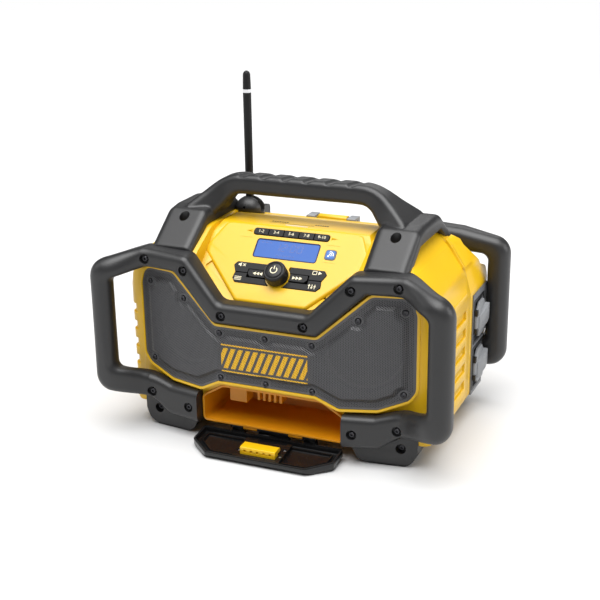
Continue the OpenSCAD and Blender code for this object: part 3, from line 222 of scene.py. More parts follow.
# silicone rubber of the keys: dull and soft
keyRubber = mouldedMaterial("siliconeKeyRubber", "#1b1b1c", "#161617", 0.5, 0.6, 0.12, 1.33)
# base of the wireless key, and its brighter face
slateRubber = mouldedMaterial("slateKeyRubber", "#5d6c86", "#55647e", 0.4, 0.6, 0.08, 1.41)
blueRubber = mouldedMaterial("blueKeyRubber", "#3f6fb5", "#3766aa", 0.4, 0.6, 0.08, 1.41)
# harder rubber blend of the knob, with a little more shine
knobGloss = mouldedMaterial("satinKnobRubber", "#222223", "#1c1c1d", 0.34, 0.8, 0.08, 1.36)
# polypropylene of the outlet covers and their plate: cool light greys
paleGrey = mouldedMaterial("mouldedPaleGrey", "#85878a", "#7d7f82", 0.45, 0.9, 0.15)
plateGrey = mouldedMaterial("mouldedMidGrey", "#66686b", "#5f6164", 0.45, 0.9, 0.15)
# polished nylon of the door: deep black that mirrors what stands before it
glossNylon = mouldedMaterial("polishedBlackNylon", "#131314", "#0f0f10", 0.24, 1.5, 0.04)
# glass-fibre laminate under green solder mask: satin
boardLaminate = mouldedMaterial("greenCircuitLaminate", "#1f5b38", "#194d2f", 0.4, 0.7, 0.1)
# pressed paper pulp: black, fibrous and dull
pulpCone = mouldedMaterial("pressedPulpCone", "#1a1a1a", "#131313", 0.8, 0.5, 0.5)
# foam and inner walls behind the sheet: black, nothing shines
blackFoam = mouldedMaterial("blackFoam", "#0d0d0d", "#080808", 0.9, 1.2, 0.4)
# printed edge of the display's lens: navy, glossy
lensEdge = mouldedMaterial("printedLensEdge", "#16244a", "#111e40", 0.4, 1.5, 0.02, 1.3)
# liquid-crystal segments at rest: slightly darker than the glow
lcdInk = mouldedMaterial("displayInk", "#33519a", "#2f4b92", 0.3, 2.0, 0.02)
# pad print: thin matt ink with a faint tooth
creamPrint = mouldedMaterial("creamPadPrint", "#efe6c4", "#e6dcb8", 0.5, 0.4, 0.1)
whitePrint = mouldedMaterial("whitePadPrint", "#f4f4f2", "#ececea", 0.5, 0.4, 0.1)
brownPrint = mouldedMaterial("brownPadPrint", "#463b1a", "#3f3516", 0.5, 0.4, 0.1)
greyPrint = mouldedMaterial("greyPadPrint", "#cfccbf", "#c6c3b6", 0.5, 0.4, 0.1)

# zinc plating: bright, slightly clouded
zincSteel = metalMaterial("zincPlatedSteel", "#cfd1d3", 0.34, 0.8)
# blackened steel of screws and baskets: dark satin
blackSteel = metalMaterial("blackenedScrewSteel", "#48484b", 0.42, 0.6)
# polished ring near the antenna's tip: a clear mirror
brightRing = metalMaterial("polishedRing", "#e4e4e6", 0.15, 1.5, 0.01)

band = {"half": 53.5, "low": 97.5, "high": 131.5, "rule": 1.8, "gap": 2.8, "pitch": 9.4, "share": 0.62,
        "lean": 0.42}


def sheetMaterial(b):
    # powder-coated perforated sheet: mid grey, satin, with a painted band of slanted bars between two rules
    mat, tree, shader = newMaterial("powderCoatedSheet", Metallic=0.25, IOR=1.5)
    add = partial(addNode, tree)
    split = add("ShaderNodeSeparateXYZ", None, {"Vector": add("ShaderNodeTexCoord").outputs["Object"]})
    x, z = (add(maths, times, {0: split.outputs[k], 1: 1000}) for k in (0, 2))
    across = add(maths, less, {0: add(maths, unsigned, {0: x}), 1: b["half"]})
    off = add(maths, unsigned, {0: add(maths, minus, {0: z, 1: (b["low"] + b["high"]) / 2})})
    reach = (b["high"] - b["low"]) / 2
    edge = add(maths, greater, {0: off, 1: reach - b["rule"]})
    rules = add(maths, times, {0: edge, 1: add(maths, less, {0: off, 1: reach})})
    slant = add(maths, minus, {0: x, 1: add(maths, times, {0: z, 1: b["lean"]})})
    shifted = add(maths, plus, {0: slant, 1: 500 * b["pitch"]})
    step = add(maths, fraction, {0: add(maths, over, {0: shifted, 1: b["pitch"]})})
    middle = add(maths, less, {0: off, 1: reach - b["rule"] - b["gap"]})
    bars = add(maths, times, {0: add(maths, less, {0: step, 1: b["share"]}), 1: middle})
    marks = add(maths, times, {0: across, 1: add(maths, plus, {0: rules, 1: bars})})
    ground = clouded(tree, "#535355", "#5c5c5e", 40.0)
    tint = add("ShaderNodeMix", {"data_type": "RGBA", 7: hexColour("#f6c233")}, {0: marks, 6: ground})
    tree.links.new(tint.outputs[2], shader["Base Color"])
    addGrain(tree, shader, 1400.0, 0.36, 0.5, 0.15, metalRelief)
    return mat


grillePaint = sheetMaterial(band)

# lamp glow behind the display: a clear blue, a little uneven
lcdLit, lcdTree, lcdShader = newMaterial("litBlueDisplay", Roughness=0.3, IOR=1.22,
                                         Emission_Color=hexColour("#5c86dc"), Emission_Strength=0.25)
lcdTree.links.new(clouded(lcdTree, "#345390", "#3c5d9e", 26.0, 1.0), lcdShader["Base Color"])

# light floor card: plain and nearly white
floorCard = newMaterial("paleCard", Base_Color=hexColour("#cecece"), Roughness=0.9)[0]
presetKeys = ["preset_key_%d" % k for k in range(1, 6)]
finishes = (
    (yellowAbs, "front_shell rear_shell control_panel storage_latch battery_latch"),
    # the bin and what hangs in it take the deeper orange: painted shade of the recess
    (binAbsPaintedShade, "storage_bin"),
    (charcoalBlend, "front_guard rear_guard_left rear_guard_right carry_handle antenna_base front_feet"
                    " rear_feet battery_door"),
    (grillePaint, "speaker_grille"),
    (lcdLit, "lcd_window"),
    (blackNylon, "lcd_module encoder_plunger battery_rails outlet_inserts outlet_pins aux_jack mains_gland"),
    (keyRubber, "keypad_mat mute_key menu_key seek_back_key seek_forward_key mode_key tone_key volume_knob"
                " antenna_mast antenna_tip door_seal " + " ".join(presetKeys)),
    (blueRubber, "wireless_key"),
    (boardLaminate, "main_board"),
    (zincSteel, "encoder_shaft encoder_body speaker_magnets antenna_pin storage_hinge_pin battery_hinge_pin"
                " usb_port power_supply door_screws"),
    (blackSteel, "speaker_frames guard_screws grille_screws"),
    (pulpCone, "speaker_cones"),
    (brightRing, "antenna_ring"),
    (glossNylon, "storage_door"),
    (paleGrey, "latch_bracket outlet_flap_upper outlet_flap_lower"),
    (plateGrey, "outlet_plate"),
)
nodeFinish = {node: mat for mat, nodes in finishes for node in nodes.split()}
for node, mat in nodeFinish.items():
    cadNodes[node].data.materials.clear()
    cadNodes[node].data.materials.append(mat)
print("materials made")


# shape helpers

def plainMesh(name, verts, faces=()):
    mesh = bpy.data.meshes.new(name)
    mesh.from_pydata(verts, [], faces)
    return mesh


def meshFrom(name, bm):
    mesh = bpy.data.meshes.new(name)
    bm.to_mesh(mesh)
    bm.free()
    return mesh


def addPiece(name, mesh, node, mat=None, replaces=True):
    # a piece on the body of its node, in the node's finish unless it has one or another is given; most often
    # it takes the node's place, and the node is hidden
    if not mesh.materials:
        mesh.materials.append(mat or nodeFinish[node])
    obj = newObject(name, mesh)
    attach(obj, bodyOfNode[node])
    if replaces:
        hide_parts(node)
    return obj


def smoothByAngle(mesh, degrees):
    bm = bmesh.new()
    bm.from_mesh(mesh)
    limit = math.radians(degrees)
    for f in bm.faces:
        f.smooth = True
    for e in bm.edges:
        e.smooth = len(e.link_faces) == 2 and e.calc_face_angle(0) < limit
    bm.to_mesh(mesh)
    bm.free()


def smoothAll(mesh):
    for f in mesh.polygons:
        f.use_smooth = True


def addBevel(obj, edgeMm, segments=2):
    smoothAll(obj.data)
    bevel = obj.modifiers.new("edges", "BEVEL")
    bevel.width, bevel.segments, bevel.limit_method = edgeMm / 1000, segments, "ANGLE"
    bevel.angle_limit, bevel.harden_normals, bevel.use_clamp_overlap = math.radians(30), True, True
    bevel.miter_outer = "MITER_ARC"


def softened(node, edgeMm, segments, flatten):
    # the node with its edges rounded, as a mould leaves them; flatten first joins faces that lie in one plane
    bm = bmesh.new()
    bm.from_mesh(cadNodes[node].data)
    bmesh.ops.remove_doubles(bm, verts=bm.verts, dist=2e-6)
    if flatten:
        bmesh.ops.dissolve_limit(bm, angle_limit=math.radians(flatten), verts=bm.verts, edges=bm.edges)
    name = node + "_dressed"
    addBevel(addPiece(name, meshFrom(name, bm), node), edgeMm, segments)


def cornerRound(a, p, b, r, n):
    u, w = (a - p).normalized(), (b - p).normalized()
    half = math.acos(max(-1, min(1, u.dot(w)))) / 2
    if r <= 0 or half > math.radians(89.5):
        return [p.copy()] * (n + 1)
    c = p + (u + w).normalized() * r / math.sin(half)
    s, e = p + u * r / math.tan(half) - c, p + w * r / math.tan(half) - c
    a0 = math.atan2(s.y, s.x)
    turn = (math.atan2(e.y, e.x) - a0 + 3 * math.pi) % (2 * math.pi) - math.pi
    return [c + r * Vector((math.cos(a0 + turn * i / n), math.sin(a0 + turn * i / n))) for i in range(n + 1)]


def roundedOutline(corners, n=6):
    # closed outline from corners (x, y, radius)
    pts, out = [Vector(c[:2]) for c in corners], []
    for i, c in enumerate(corners):
        out += cornerRound(pts[i - 1], pts[i], pts[(i + 1) % len(pts)], c[2], n) if c[2] > 0 else [pts[i]]
    return out


def grownCorners(corners, d):
    # corners moved outwards by d, their rounds growing with them
    pts = [Vector(c[:2]) for c in corners]
    area = sum(a.x * b.y - b.x * a.y for a, b in zip(pts, pts[1:] + pts[:1]))
    way = 1 if area > 0 else -1
    out = []
    for i, p in enumerate(pts):
        u, w = (p - pts[i - 1]).normalized(), (pts[(i + 1) % len(pts)] - p).normalized()
        nu, nw = Vector((u.y, -u.x)) * way, Vector((w.y, -w.x)) * way
        mid = (nu + nw).normalized()
        q = p + mid * d / mid.dot(nu)
        bend = way * (1 if u.x * w.y - u.y * w.x > 0 else -1)
        out.append((q.x, q.y, max(0.2, corners[i][2] + bend * d) if corners[i][2] > 0 else 0))
    return out


def mirrored(corners):
    return [(-x, y, r) for x, y, r in corners]


def bothSides(half):
    return half + mirrored([c for c in reversed(half) if c[0] > 0.01])


def boxCorners(x0, x1, y0, y1, r):
    return [(x0, y0, r), (x1, y0, r), (x1, y1, r), (x0, y1, r)]


def edgePoints(corners, start, n):
    # an open line with its corners rounded, n + 1 points to each
    pts = [Vector(c[:2]) for c in corners]
    out = []
    for i, p in enumerate(pts):
        before = pts[i - 1] if i else Vector(start)
        after = pts[i + 1] if i + 1 < len(pts) else p + (p - before)
        out += cornerRound(before, p, after, corners[i][2], n)
    return out


def barSection(a, b, front, back, rFront, rBack, n=7):
    # rounded section between an inner point a and an outer point b of the front view
    half, mid, w = (b - a).length / 2, (a + b) / 2, (b - a).normalized()
    rf, rk = min(rFront, half - 0.5), min(rBack, half - 0.5)
    out = []
    for q in range(4):
        r = rk if q < 2 else rf
        cu = (1 if q in (0, 3) else -1) * (half - r)
        cv = back - r if q < 2 else front + r
        for i in range(n + 1):
            t = math.radians(90 * (q + i / n))
            p = mid + w * (cu + r * math.cos(t))
            out.append((p.x, cv + r * math.sin(t), p.y))
    return out


def ringQuads(n, rows):
    # faces between rings of n points, each ring closed on itself
    return [(k * n + i, k * n + (i + 1) % n, (k + 1) * n + (i + 1) % n, (k + 1) * n + i)
            for k in range(rows - 1) for i in range(n)]


def solidFrom(name, verts, faces):
    bm = bmesh.new()
    bm.from_mesh(plainMesh(name, verts, faces))
    bmesh.ops.remove_doubles(bm, verts=bm.verts, dist=1e-7)
    bmesh.ops.dissolve_degenerate(bm, edges=bm.edges, dist=1e-7)
    bmesh.ops.recalc_face_normals(bm, faces=bm.faces)
    return meshFrom(name, bm)


def cappedRings(name, rings):
    n, m = len(rings[0]), len(rings)
    caps = [tuple(range(n - 1, -1, -1)), tuple(range((m - 1) * n, m * n))]
    return solidFrom(name, [p for ring in rings for p in ring], caps + ringQuads(n, m))


def skinMesh(name, rings):
    return cappedRings(name, [[at(*p) for p in ring] for ring in rings])


def prismMesh(name, loop, low, high, place):
    # a closed outline given a thickness; place(a, b, height) says where a point lies
    return cappedRings(name, [[place(*p, h) for p in loop] for h in (low, high)])


def pillowMesh(name, corners, low, high, place, roll, steps=5):
    # a plate of the given outline whose upper rim rolls over with the given radius
    rings = [[place(*p, low) for p in roundedOutline(corners)]]
    for i in range(steps + 1):
        a = math.radians(90 * i / steps)
        inset = roll * (1 - math.cos(a))
        loop = roundedOutline(grownCorners(corners, -inset) if inset else corners)
        rings.append([place(*p, high - roll + roll * math.sin(a)) for p in loop])
    return cappedRings(name, rings)


def boxMesh(name, x0, x1, y0, y1, z0, z1, place=at):
    verts = [place(x, y, z) for x in (x0, x1) for y in (y0, y1) for z in (z0, z1)]
    faces = [(0, 1, 3, 2), (4, 6, 7, 5), (0, 4, 5, 1), (2, 3, 7, 6), (0, 2, 6, 4), (1, 5, 7, 3)]
    return solidFrom(name, verts, faces)


def flatMesh(name, loops, place, height):
    # flat shapes, such as print, that face away from what they lie on
    verts, faces = [], []
    for loop in loops:
        area = sum(a[0] * b[1] - b[0] * a[1] for a, b in zip(loop, loop[1:] + loop[:1]))
        faces.append(tuple(range(len(verts), len(verts) + len(loop))))
        verts += [place(*p, height) for p in (loop if area > 0 else loop[::-1])]
    return plainMesh(name, verts, faces)


def joined(name, meshes):
    bm = bmesh.new()
    for mesh in meshes:
        bm.from_mesh(mesh)
    return meshFrom(name, bm)


def looseObject(mesh):
    return newObject(mesh.name, mesh)


def takenMesh(obj):
    # the object's shape as its modifiers leave it; the object goes
    bpy.context.view_layer.update()
    mesh = bpy.data.meshes.new_from_object(obj.evaluated_get(bpy.context.evaluated_depsgraph_get()))
    bpy.data.objects.remove(obj)
    return mesh


def cutMesh(mesh, cutters, how="DIFFERENCE"):
    # takes the cutters' shapes out of the mesh, or adds them
    obj = looseObject(mesh)
    others = [looseObject(c) for c in cutters]
    for other in others:
        cut = obj.modifiers.new("cut", "BOOLEAN")
        cut.operation, cut.object, cut.solver = how, other, "EXACT"
    made = takenMesh(obj)
    for other in others:
        bpy.data.objects.remove(other)
    return made


def roundedByVoxels(mesh, voxelMm, passes):
    # one skin over everything, its edges smoothed, as on a thick moulding
    obj = looseObject(mesh)
    remesh = obj.modifiers.new("skin", "REMESH")
    remesh.mode, remesh.voxel_size, remesh.use_smooth_shade = "VOXEL", voxelMm / 1000, True
    smooth = obj.modifiers.new("smooth", "SMOOTH")
    smooth.factor, smooth.iterations = 0.5, passes
    return takenMesh(obj)


def rodsMesh(name, items, steps):
    # items: (foot, direction, radius, length)
    bm = bmesh.new()
    for foot, way, r, length in items:
        made = bmesh.ops.create_cone(bm, cap_ends=True, segments=steps, radius1=r / 1000, radius2=r / 1000,
                                     depth=length / 1000)
        turn = Vector((0, 0, 1)).rotation_difference(Vector(way)).to_matrix().to_4x4()
        middle = foot + Vector(way).normalized() * length / 2000
        bmesh.ops.transform(bm, verts=made["verts"], matrix=Matrix.Translation(middle) @ turn)
    return meshFrom(name, bm)


def newTree(name, numbers, **others):
    # a geometry tree with number inputs and other kinds; returns it, its inputs by name and its last node
    tree = bpy.data.node_groups.new(name, "GeometryNodeTree")
    for label, kind in {"Geometry": "Geometry", **dict.fromkeys(numbers, "Float"), **others}.items():
        tree.interface.new_socket(label, in_out="INPUT", socket_type="NodeSocket" + kind)
    tree.interface.new_socket("Geometry", in_out="OUTPUT", socket_type="NodeSocketGeometry")
    given = {s.name: s for s in addNode(tree, "NodeGroupInput").outputs}
    return tree, given, addNode(tree, "NodeGroupOutput")


def endTree(tree, given, result, last):
    # the last node's shape in its finish is what the tree gives
    shape = {"Geometry": last, "Material": given["Finish"]}
    done = addNode(tree, "GeometryNodeSetMaterial", None, shape)
    tree.links.new(done.outputs[0], result.inputs[0])
    return tree


def runTree(mesh, tree, values):
    # the tree's result as a plain mesh
    obj = looseObject(mesh)
    mod = obj.modifiers.new("nodes", "NODES")
    mod.node_group = tree
    for item in tree.interface.items_tree:
        if item.in_out == "INPUT" and item.name in values:
            mod[item.identifier] = values[item.name]
    return takenMesh(obj)


def makeFloor(half):
    corners = [(-half, -half, 0), (half, -half, 0), (half, half, 0), (-half, half, 0)]
    mesh = plainMesh("floor", corners, [(0, 1, 2, 3)])
    mesh.materials.append(floorCard)
    newObject("floor", mesh)


makeFloor(studio["floor"])

# guards

flatHalf, sweepSlope, bodyFront = 58.7, 0.13, 15.7
arcSteps = 10
ahead = Vector((0, -1, 0))
# corners from the middle outwards: x, z, radius; for each its front, back and the rounds of both
guard = {
    "start": (179.7, 154.9), "step": 5, "blend": 13,
    "outer": [(54, 179.7, 14), (100.5, 226.5, 12), (161, 229.5, 16), (221, 212.5, 24), (221, 53.5, 22),
              (157, 41.5, 8), (133, 24.5, 14), (91, 22, 0)],
    "inner": [(64, 154.9, 8), (118, 206, 8), (158, 206.5, 10), (193.5, 194.5, 9), (193.5, 84.5, 9),
              (160, 72.5, 6), (128, 63, 14), (91, 62, 0)],
    "depth": [(-7.5, 0, 9, 2), (-1.5, 12, 9, 3), (-2.5, 12, 9, 3), (-34.8, -22.8, 12.5, 12.5),
              (-34.8, -22.8, 12.5, 12.5), (-1, 0, 9, 2), (-2, 0, 9, 2), (-2.3, 0, 9, 2)],
    "screws": [(50.3, 166.2), (102.1, 210.8), (154.9, 217.9), (154.7, 51.2), (103.2, 40.8)],
    "recess": 6.0, "sunk": 4.6, "footScrew": (154.8, 32.5, 23.2),
}


def evenedRows(rows, stepMm, blendMm):
    # rows of (outer point, inner point, depths) spread along the bar, their depths blended along its length
    out = [rows[0]]
    for a, b in zip(rows, rows[1:]):
        n = max(1, round((b[0] - a[0]).length / stepMm))
        for t in (j / n for j in range(1, n + 1)):
            depths = [u + (v - u) * t for u, v in zip(a[2], b[2])]
            out.append((a[0].lerp(b[0], t), a[1].lerp(b[1], t), depths))
    mids = [(r[0] + r[1]) / 2 for r in out]
    steps = [(b - a).length for a, b in zip(mids, mids[1:])]
    along = [sum(steps[:k]) for k in range(len(out))]
    spans = [(u + v) / 2 for u, v in zip([0] + steps, steps + [0])]
    eased = []
    for here, row in zip(along, out):
        weights = [span * math.exp(-((s - here) / blendMm) ** 2) for s, span in zip(along, spans)]
        depths = [sum(w * r[2][i] for w, r in zip(weights, out)) / sum(weights) for i in range(4)]
        eased.append((row[0], row[1], depths))
    return eased


def makeFrontGuard(g):
    back = bodyFront - 0.2
    top, low = g["start"]
    outer, inner = edgePoints(g["outer"], (0, top), arcSteps), edgePoints(g["inner"], (0, low), arcSteps)
    rows = [(o, i, g["depth"][k // (arcSteps + 1)]) for k, (o, i) in enumerate(zip(outer, inner))]
    half = []
    for o, i, d in evenedRows(rows, g["step"], g["blend"]):
        section = barSection(i, o, d[0], back + d[1], d[2], d[3])
        half.append([(x, y + sweepSlope * max(0, abs(x) - flatHalf), z) for x, y, z in section])
    skin = skinMesh("guardBar", [mirrored(ring) for ring in reversed(half)] + half)
    bm = bmesh.new()
    bm.from_mesh(skin)
    front = BVHTree.FromBMesh(bm)
    bm.free()
    heads = []
    for x, z in [(s * x, z) for x, z in g["screws"] for s in (-1, 1)]:
        face = front.ray_cast(at(x, -150, z), -ahead)[0]
        heads.append(face + Vector((0, g["sunk"] / 1000, 0)))
    mesh = cutMesh(skin, [rodsMesh("recesses", [(head, ahead, g["recess"], 60) for head in heads], 40)])
    smoothByAngle(mesh, 32)
    addPiece("guardBar", mesh, "front_guard")
    x, y, z = g["footScrew"]
    return [(head, ahead) for head in heads + [at(-x, y, z), at(x, y, z)]]


guardHeads = makeFrontGuard(guard)

rearLoop = {
    "outer": [(105, 230, 0), (160, 226.5, 20), (220.5, 216, 22), (220.5, 55, 22), (153, 46, 8), (99, 31, 0)],
    "inner": [(105, 200, 0), (160, 197.5, 10), (193.5, 196, 9), (193.5, 91, 9), (163, 88, 10), (99, 66, 0)],
    "depth": [(-13.5, 13, 6, 10), (-12.8, 13.75, 6, 12), (-13.75, 13.75, 12.5, 12.5),
              (-13.75, 13.75, 12.5, 12.5), (-12.8, 13.75, 6, 12), (-13, 13, 6, 10)],
    "plane": 240, "start": 90,
}


def makeRearLoop(r, side, node):
    outer, inner = (edgePoints(r[key], (r["start"], r[key][0][1]), arcSteps) for key in ("outer", "inner"))
    rings = []
    for k, (o, i) in enumerate(zip(outer, inner)):
        f, b, rk, rf = r["depth"][k // (arcSteps + 1)]
        section = barSection(i, o, r["plane"] + f, r["plane"] + b, rf, rk)
        rings.append([(side * x, y, z) for x, y, z in section])
    mesh = skinMesh(node + "_loop", rings)
    smoothByAngle(mesh, 40)
    addPiece(node + "_loop", mesh, node)


makeRearLoop(rearLoop, 1, "rear_guard_right")
makeRearLoop(rearLoop, -1, "rear_guard_left")
print("guards made")

# handle

handle = {
    "middle": 116, "top": 303,
    # strap over the housing's shoulder, seen from the side: y, z, corner radius
    "strapTop": [(33, 217, 0), (29, 229.5, 4), (77, 263.5, 10), (94, 266, 20), (138, 266, 20),
                 (155, 263.5, 10), (201, 231, 6), (197, 217, 0)],
    "strapUnder": [(34, 216, 0), (36, 217.4, 1), (77, 246.4, 16), (94, 246.4, 1), (138, 246.4, 1),
                   (155, 246.4, 16), (194, 218.4, 1), (196, 216, 0)],
    "strapX": (105.4, 157.6), "strapRound": 8.5,
    # right half of the grip: x, z, half thickness, front, back
    "stations": [(0, 291, 12, -14, 14), (40, 291, 12, -14, 14), (68, 291, 12, -14, 14),
                 (84, 289.5, 12.2, -14.5, 14.5), (97, 283, 13, -17, 17), (111, 270, 14.5, -25, 25),
                 (127, 256, 15, -37, 37)],
    "grooves": 6, "pitch": 27.5, "lean": 24, "groove": 3.2, "grooveRound": 7, "reach": 40,
    "padHole": 6.2, "padX": 131.5, "padY": (67.6, 164.4), "padZ": 240,
    "skin": 1.3,
}


def smoothStations(stations, steps):
    # curve through the stations, mirrored at the middle
    pts = [(-s[0], *s[1:]) for s in reversed(stations[1:])] + stations
    out = []
    for i in range(len(pts) - 1):
        p = [pts[max(0, min(len(pts) - 1, i + k))] for k in (-1, 0, 1, 2)]
        for t in (j / steps for j in range(steps)):
            out.append([0.5 * (2 * b + (c - a) * t + (2 * a - 5 * b + 4 * c - d) * t * t
                               + (3 * b - a - 3 * c + d) * t ** 3) for a, b, c, d in zip(*p)])
    return out + [list(pts[-1])]


def strapMesh(h, side):
    top, under = edgePoints(h["strapTop"], (33.2, 216.4), 6), edgePoints(h["strapUnder"], (34, 215), 6)
    low, high = h["strapX"]
    rings = []
    for t, u in zip(top, under):
        away = (t - u).normalized()
        r = min(h["strapRound"], (t - u).length - 0.5)
        ring = [(low, 0), (high, 0)]
        for cx, start in ((high - r, 0), (low + r, 90)):
            for i in range(7):
                a = math.radians(start + 15 * i)
                ring.append((cx + r * math.cos(a), (t - u).length - r + r * math.sin(a)))
        rings.append([(side * x, u.x + away.x * n, u.y + away.y * n) for x, n in ring])
    return skinMesh("strap", rings)


def gripMesh(h):
    rows = smoothStations(h["stations"], 6)
    rings = []
    for k, s in enumerate(rows):
        a, b = rows[max(0, k - 1)], rows[min(len(rows) - 1, k + 1)]
        way = Vector((b[0] - a[0], b[1] - a[1])).normalized()
        up, mid = Vector((-way.y, way.x)), Vector(s[:2])
        front, back = h["middle"] + s[3], h["middle"] + s[4]
        rings.append(barSection(mid - up * s[2], mid + up * s[2], front, back, 8, 8))
    return skinMesh("grip", rings)


def makeHandle(h):
    grip, straps = gripMesh(h), [strapMesh(h, s) for s in (-1, 1)]
    body = cutMesh(straps[0], [straps[1], grip], "UNION")
    cutters = []
    slip = h["reach"] * math.tan(math.radians(h["lean"]))
    way = Vector((2 * slip, 2 * h["reach"], 0))
    for k in range(h["grooves"]):
        x = (k - (h["grooves"] - 1) / 2) * h["pitch"]
        foot = at(x - slip, h["middle"] - h["reach"], h["top"] + h["grooveRound"] - h["groove"])
        cutters.append(rodsMesh("groove", [(foot, way, h["grooveRound"], way.length)], 40))
    made = roundedByVoxels(cutMesh(body, cutters), h["skin"], 5)
    pads = [at(s * h["padX"], y, h["padZ"]) for s in (-1, 1) for y in h["padY"]]
    holes = [(pad, (0, 0, 1), h["padHole"], 40) for pad in pads]
    made = cutMesh(made, [rodsMesh("padHoles", holes, 36)])
    smoothByAngle(made, 38)
    addPiece("carryHandle", made, "carry_handle")


makeHandle(handle)
print("handle made")

# housing

grille = {
    "corners": bothSides([(0, 83, 0), (56, 83, 0), (60, 83, 5), (86.5, 68.5, 8), (129, 69.5, 14),
                          (163, 83, 12), (170.5, 94, 14), (170.5, 183, 14), (165, 202.5, 14),
                          (122.5, 203, 12), (64, 150.5, 8), (58, 150.5, 0), (0, 150.5, 0)]),
    "face": 1.7, "sweep": 0.241, "rim": 2.8, "half": 172, "height": 210,
    "pitch": 2.0, "open": 0.6, "wall": 0.7,
    "flat": 8.5, "rise": 6.5, "dome": 4.2, "calm": 7.5,
    # no cell nearer than this to a screw or, as a share of the rim, to the edge; level ground round a screw
    "clear": 4.2, "edge": 0.72, "ring": 5.0,
    "behind": (-0.6, 58.3),
    "screws": [(157.8, 186.6), (107.7, 174.5), (57.1, 142.5), (57.2, 87.6), (157.2, 89.6), (0, 142.5),
               (0, 87.6)],
    # dished washers, pressed from the same sheet: radius, height
    "washer": [(3.4, -1.2), (3.6, 0.0), (4.3, 0.45), (5.2, 0.3), (5.7, -0.3)],
}

# nodes, their edge in millimetres, its segments, and the angle within which faces are joined
softEdges = (
    ("front_shell rear_shell", 0.9, 2, 0), ("storage_bin", 0.8, 2, 0), ("front_feet rear_feet", 1.4, 3, 1),
    ("storage_door", 0.5, 2, 0), ("battery_door", 0.8, 2, 0), ("battery_latch latch_bracket", 0.8, 2, 1),
    ("outlet_plate", 0.7, 2, 0), ("outlet_flap_upper outlet_flap_lower", 0.6, 2, 1),
    ("antenna_base", 0.5, 2, 0),
)
for nodes, *edge in softEdges:
    for node in nodes.split():
        softened(node, *edge)


def insideLoop(x, y, loop):
    inside = False
    for a, b in zip(loop, loop[1:] + loop[:1]):
        if (a.y > y) != (b.y > y) and x < (b.x - a.x) * (y - a.y) / (b.y - a.y) + a.x:
            inside = not inside
    return inside


def grilleY(x):
    return grille["face"] + grille["sweep"] * max(0, abs(x) - flatHalf)


def blackenBehindGrille(mesh):
    # the walls behind the sheet are painted black
    mesh.materials.append(blackFoam)
    loop = roundedOutline(grownCorners(grille["corners"], -0.2), 4)
    low, high = grille["behind"]
    for f in mesh.polygons:
        x, y, z = f.center.x * 1000, f.center.y * 1000 + middleY, f.center.z * 1000
        if low < y - grilleY(x) < high and insideLoop(x, z, loop):
            f.material_index = 1


def sunkChin(mesh):
    # lowers the housing round the foot of the console, where the panel's rolled rim stands over it
    foot = bothSides([(0, 12, 0), (48, 12, 3), (95, 62, 3), (88, 70, 3), (0, 70, 0)])
    made = cutMesh(mesh, [prismMesh("chin", roundedOutline(foot, 4), -2.0, 7, onConsole)])
    smoothAll(made)
    return made


frontShell = bpy.data.objects["front_shell_dressed"]
blackenBehindGrille(frontShell.data)
frontShell.data = sunkChin(frontShell.data)

seals = {"z": (66, 126), "outer": (178.6, 224, 28), "inner": (182.5, 222.2, 24.6), "round": 2,
         "sunk": 0.2, "stands": 0.5, "bore": 3}


def sideView(y, z, x):
    return at(x, y, z)


def makeSeals(c):
    # black seal round each outlet flap
    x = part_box("outlet_plate")[1].x * 1000
    parts = []
    for z in c["z"]:
        ring, hole = (roundedOutline(boxCorners(y0, y1, z - half, z + half, c["round"]), 4)
                      for y0, y1, half in (c["outer"], c["inner"]))
        parts.append(cutMesh(prismMesh("seal", ring, x - c["sunk"], x + c["stands"], sideView),
                             [prismMesh("hole", hole, x - c["bore"], x + c["bore"], sideView)]))
    mesh = joined("outletSeals", parts)
    smoothByAngle(mesh, 30)
    addPiece("outletSeals", mesh, "outlet_inserts", replaces=False)


makeSeals(seals)
print("housing dressed")


# grille

